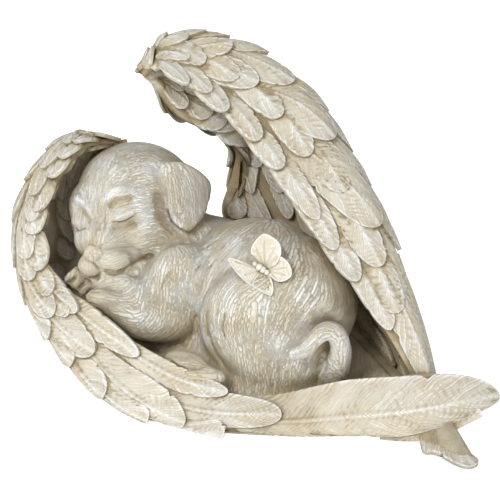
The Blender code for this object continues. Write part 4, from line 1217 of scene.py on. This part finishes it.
def make_puppy():
    """The puppy and the floor it lies on: melted, refined where it is seen, and carved."""
    skin = thin_hidden(puppy_skin())
    refine_seen(skin)
    points, triangles, _ = mesh_arrays(skin)
    points = soften(points.astype(float), triangles, 2)
    wear, wash_and_shade = carve_lines(points, triangles, FACE_LINES)
    combed = comb_fur(points, triangles)
    samples, owners, shares, first_gap, next_gap, owner, sample_of, normals, places, size = combed
    calm = np.ones(len(points))
    for right, up, reach in CALM_FIELDS:
        calm *= 1 - 0.92 * bell(np.hypot(places[:, 0] - right, places[:, 1] - up), reach)
    calm *= step_up(points[:, 2], 9, 14)
    tail_line = smooth_rows([tuple(seen(place)) + (radius,) for place, radius in LIMBS[TAIL]], 60)
    tail_gap = np.full(len(points), 9.0)
    for x, y, z, radius in tail_line:
        tail_gap = np.minimum(tail_gap, np.linalg.norm(points - np.array([x, y, z]), axis=1) - radius)
    tail = 1 - step_up(tail_gap, 0.4, 1.6)
    calm *= 1 - 0.6 * tail
    seam = np.exp(-((next_gap - first_gap) / (0.26 * size)) ** 2)
    crown = np.clip(1 - first_gap / size, 0, 1)
    along = shares[sample_of]
    patch = np.array([noise.noise(point * 0.11) for point in map(Vector, points.tolist())])
    calm *= 1 - 0.55 * bell(np.hypot(places[:, 0] + 56, places[:, 1] - 86), 24)
    strength = calm * np.clip(0.75 + patch * 1.3, 0.15, 1.4)
    rise = -FUR_DEPTH * seam + 0.5 * FUR_DEPTH * crown
    points += normals * (rise * strength * size / 2)[:, None]
    values = np.zeros((len(points), len(VALUE_NAMES)))
    values[:, 0] = np.clip(0.30 + 0.42 * strength * (crown * 0.6 + along * 0.4) + 0.25 * patch + wear, 0, 1)
    for right, up, reach, amount in PAINTED_FUR_SHADE:
        wash_and_shade += amount * bell(np.hypot(places[:, 0] - right, places[:, 1] - up), reach)
    # Painted shade on the body beside the tail.
    wash_and_shade += 0.5 * bell(tail_gap - 2.4, 1.6)
    values[:, 0] += 0.30 * tail
    values[:, 0] += 0.28 * bell(np.hypot(places[:, 0] + 56, places[:, 1] - 97), 22)
    values[:, 1] = np.clip(0.42 * seam * strength + wash_and_shade * (1 - tail), 0, 1)
    faces = [list(face.vertices) for face in skin.polygons]
    piece = mesh_object("puppy", points, faces, values)
    direction = np.diff(samples, axis=0, append=samples[-1:])
    direction[np.diff(owners, append=-1) != 0] = 0
    direction = unit(direction)
    offset = points - samples[sample_of]
    side = np.cross(normals, direction[sample_of])
    lock_length = shares * 6.0
    set_value(piece, "lock_u", np.sum(offset * direction[sample_of], axis=1) + lock_length[sample_of])
    set_value(piece, "lock_v", np.sum(offset * side, axis=1))
    set_value(piece, "lock_id", (owner % 97) * 3.7)
    return piece


def round_outline(corners, count):
    """A smooth closed line through the corners."""
    corners = np.asarray(corners, float)
    looped = np.concatenate([corners[-2:], corners, corners[:3]])
    line = smooth_rows(looped, (len(looped) - 1) * count + 1)
    return line[2 * count:(2 + len(corners)) * count]


def from_segment(places, start, end):
    """How far places are from a straight line between two points."""
    run = end - start
    share = np.clip((places - start) @ run / (run @ run), 0, 1)
    return np.linalg.norm(places - start - share[:, None] * run, axis=1)


def on_belly(places, rise):
    """Places drawn flat on the butterfly, and how far they stand out, as points in millimetres."""
    slope = math.radians(BUTTERFLY_SLOPE)
    up = np.array([0, math.sin(slope), math.cos(slope)])
    out = np.array([0, -math.cos(slope), math.sin(slope)])
    flat = np.array(BUTTERFLY_AT) + places[:, :1] * np.array([1.0, 0, 0]) + places[:, 1:] * up
    return flat + rise[:, None] * out


def butterfly_wing(carving, outline, height):
    """One wing of the butterfly: a thin leaf with a raised rim, veins and a few dots."""
    rim = round_outline(outline, 18)
    around = len(rim)
    middle = rim.mean(axis=0)
    shares = np.linspace(0, 1, BUTTERFLY_RINGS + 1)[1:]
    flat = (middle + (rim - middle) * shares[:, None, None]).reshape(-1, 2)
    flat = np.concatenate([middle[None], flat])
    from_rim = np.concatenate([[3.0], ((1 - shares)[:, None] * np.linalg.norm(rim - middle, axis=1)).ravel()])
    outline = np.array(outline, float)
    rise = height * np.hypot(flat[:, 0], flat[:, 1]) / np.hypot(outline[:, 0], outline[:, 1]).max()
    relief = 0.30 * bell(from_rim - 0.25, 0.4)
    vein_gap = np.full(len(flat), 9.0)
    for corner in outline[1:]:
        vein = from_segment(flat, outline[0], outline[0] + 0.82 * (corner - outline[0]))
        vein_gap = np.minimum(vein_gap, vein)
        dot = np.linalg.norm(flat - outline[0] - 0.80 * (corner - outline[0]), axis=1)
        relief = np.maximum(relief, 0.50 * bell(dot, 0.55))
    relief -= 0.30 * bell(vein_gap, 0.30)
    top = on_belly(flat, rise + relief)
    bottom = on_belly(flat, rise - BUTTERFLY_THICKNESS)
    count = len(flat)
    faces = []
    for k in range(around):
        after = (k + 1) % around
        faces.append([0, 1 + k, 1 + after])
        for ring in range(BUTTERFLY_RINGS - 1):
            inner = 1 + ring * around
            faces.append([inner + k, inner + around + k, inner + around + after, inner + after])
    faces += [[index + count for index in face[::-1]] for face in faces]
    last = 1 + (BUTTERFLY_RINGS - 1) * around
    for k in range(around):
        after = (k + 1) % around
        faces.append([last + k, last + count + k, last + count + after, last + after])
    values = np.zeros((2 * count, len(VALUE_NAMES)))
    values[:count, 0] = 0.50 + 1.0 * relief - 0.3 * bell(vein_gap, 0.25)
    values[:count, 1] = 0.75 * bell(vein_gap, 0.24)
    carving.add(np.concatenate([top, bottom]), faces, values)


def make_butterfly():
    """The small butterfly that rests on the puppy's flank."""
    carving = Carving()
    for outline, height in BUTTERFLY_WINGS:
        butterfly_wing(carving, outline, height)
    head, tail, radius = BUTTERFLY_BODY
    points, faces = unit_ball(24, 14)
    head, tail = np.array(head), np.array(tail)
    for share, size in BUTTERFLY_SEGMENTS:
        place = head + (tail - head) * share
        middle = on_belly(place[None], np.array([radius * 0.5]))[0]
        values = np.zeros((len(points), len(VALUE_NAMES)))
        values[:, 0] = 0.7
        carving.add(points * radius * size + middle, faces, values)
    piece = carving.build("butterfly")
    shape = bmesh.new()
    shape.from_mesh(piece.data)
    bmesh.ops.recalc_face_normals(shape, faces=shape.faces)
    shape.to_mesh(piece.data)
    shape.free()
    return piece


def light(name, place, aim, size, power):
    """A square soft light that points at the statuette."""
    data = bpy.data.lights.new(name, "AREA")
    data.shape = "SQUARE"
    data.size = size
    data.energy = power
    lamp = bpy.data.objects.new(name, data)
    lamp.location = place
    lamp.rotation_euler = (Vector(aim) - Vector(place)).to_track_quat("-Z", "Y").to_euler()
    collection.objects.link(lamp)


VIEW_WIDTH = 0.204
VIEW_MIDDLE = (0.0004, 0.0126, 0.05)


def make_stage():
    """The pale floor, the soft lights and the camera."""
    floor_mesh = bpy.data.meshes.new("floor")
    reach = 3.0
    corners = [(-reach, -reach, 0), (reach, -reach, 0), (reach, reach, 0), (-reach, reach, 0)]
    floor_mesh.from_pydata(corners, [], [(0, 1, 2, 3)])
    floor = bpy.data.objects.new("floor", floor_mesh)
    collection.objects.link(floor)
    pale = bpy.data.materials.new("pale_floor")
    pale.use_nodes = True
    shader = pale.node_tree.nodes["Principled BSDF"]
    shader.inputs["Base Color"].default_value = (0.95, 0.95, 0.95, 1)
    shader.inputs["Roughness"].default_value = 0.9
    shader.inputs["Emission Color"].default_value = (1, 1, 1, 1)
    shader.inputs["Emission Strength"].default_value = 0.6
    floor_mesh.materials.append(pale)
    world = bpy.data.worlds.new("studio")
    world.use_nodes = True
    sky = world.node_tree.nodes["Background"]
    sky.inputs["Color"].default_value = (1, 1, 1, 1)
    sky.inputs["Strength"].default_value = 0.58
    bpy.context.scene.world = world
    light("key", (-0.5, -0.65, 0.95), (0, 0, 0.05), 0.4, 11)
    light("fill", (0.2, -1.0, 0.5), (0, 0, 0.05), 0.8, 4.5)
    camera_data = bpy.data.cameras.new("camera")
    camera_data.lens = LENS
    camera_data.sensor_width = 36.0
    camera = bpy.data.objects.new("camera", camera_data)
    distance = VIEW_WIDTH / 2 * LENS / (camera_data.sensor_width / 2)
    down = math.radians(VIEW_DOWN)
    away = Vector((0, -math.cos(down), math.sin(down))) * distance
    camera.location = Vector(VIEW_MIDDLE) + away
    camera.rotation_euler = (-away).to_track_quat("-Z", "Y").to_euler()
    camera_data.clip_end = 20
    collection.objects.link(camera)
    bpy.context.scene.camera = camera
    bpy.context.scene.view_settings.view_transform = "Standard"


def main():
    make_stage()
    pieces = {
        "puppy": make_puppy(),
        "near_wing": make_wing("near_wing", NEAR_WING, NEAR_OUTSIDE, NEAR_INSIDE, NEAR_ROWS, 1, NEAR_WALL_ROWS),
        "far_wing": make_wing("far_wing", FAR_WING, FAR_OUTSIDE, FAR_INSIDE, FAR_ROWS, -1, FAR_WALL_ROWS),
        "butterfly": make_butterfly(),
    }
    shade_hollows(list(pieces.values()))
    fur = antique_ivory("ivory_fur", "fur", 0.75, 0.9, 1.5)
    plumage = antique_ivory("ivory_feathers", "barbs", 0.85, 0.9, 2.8)
    chalky = antique_ivory("ivory_butterfly", "barbs", 0.85, 0.4, 0.6)
    finishes = {"puppy": fur, "near_wing": plumage, "far_wing": plumage, "butterfly": chalky}
    for name, piece in pieces.items():
        piece.data.materials.append(finishes[name])
        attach(piece, BODY)
        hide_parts(NODE)


main()
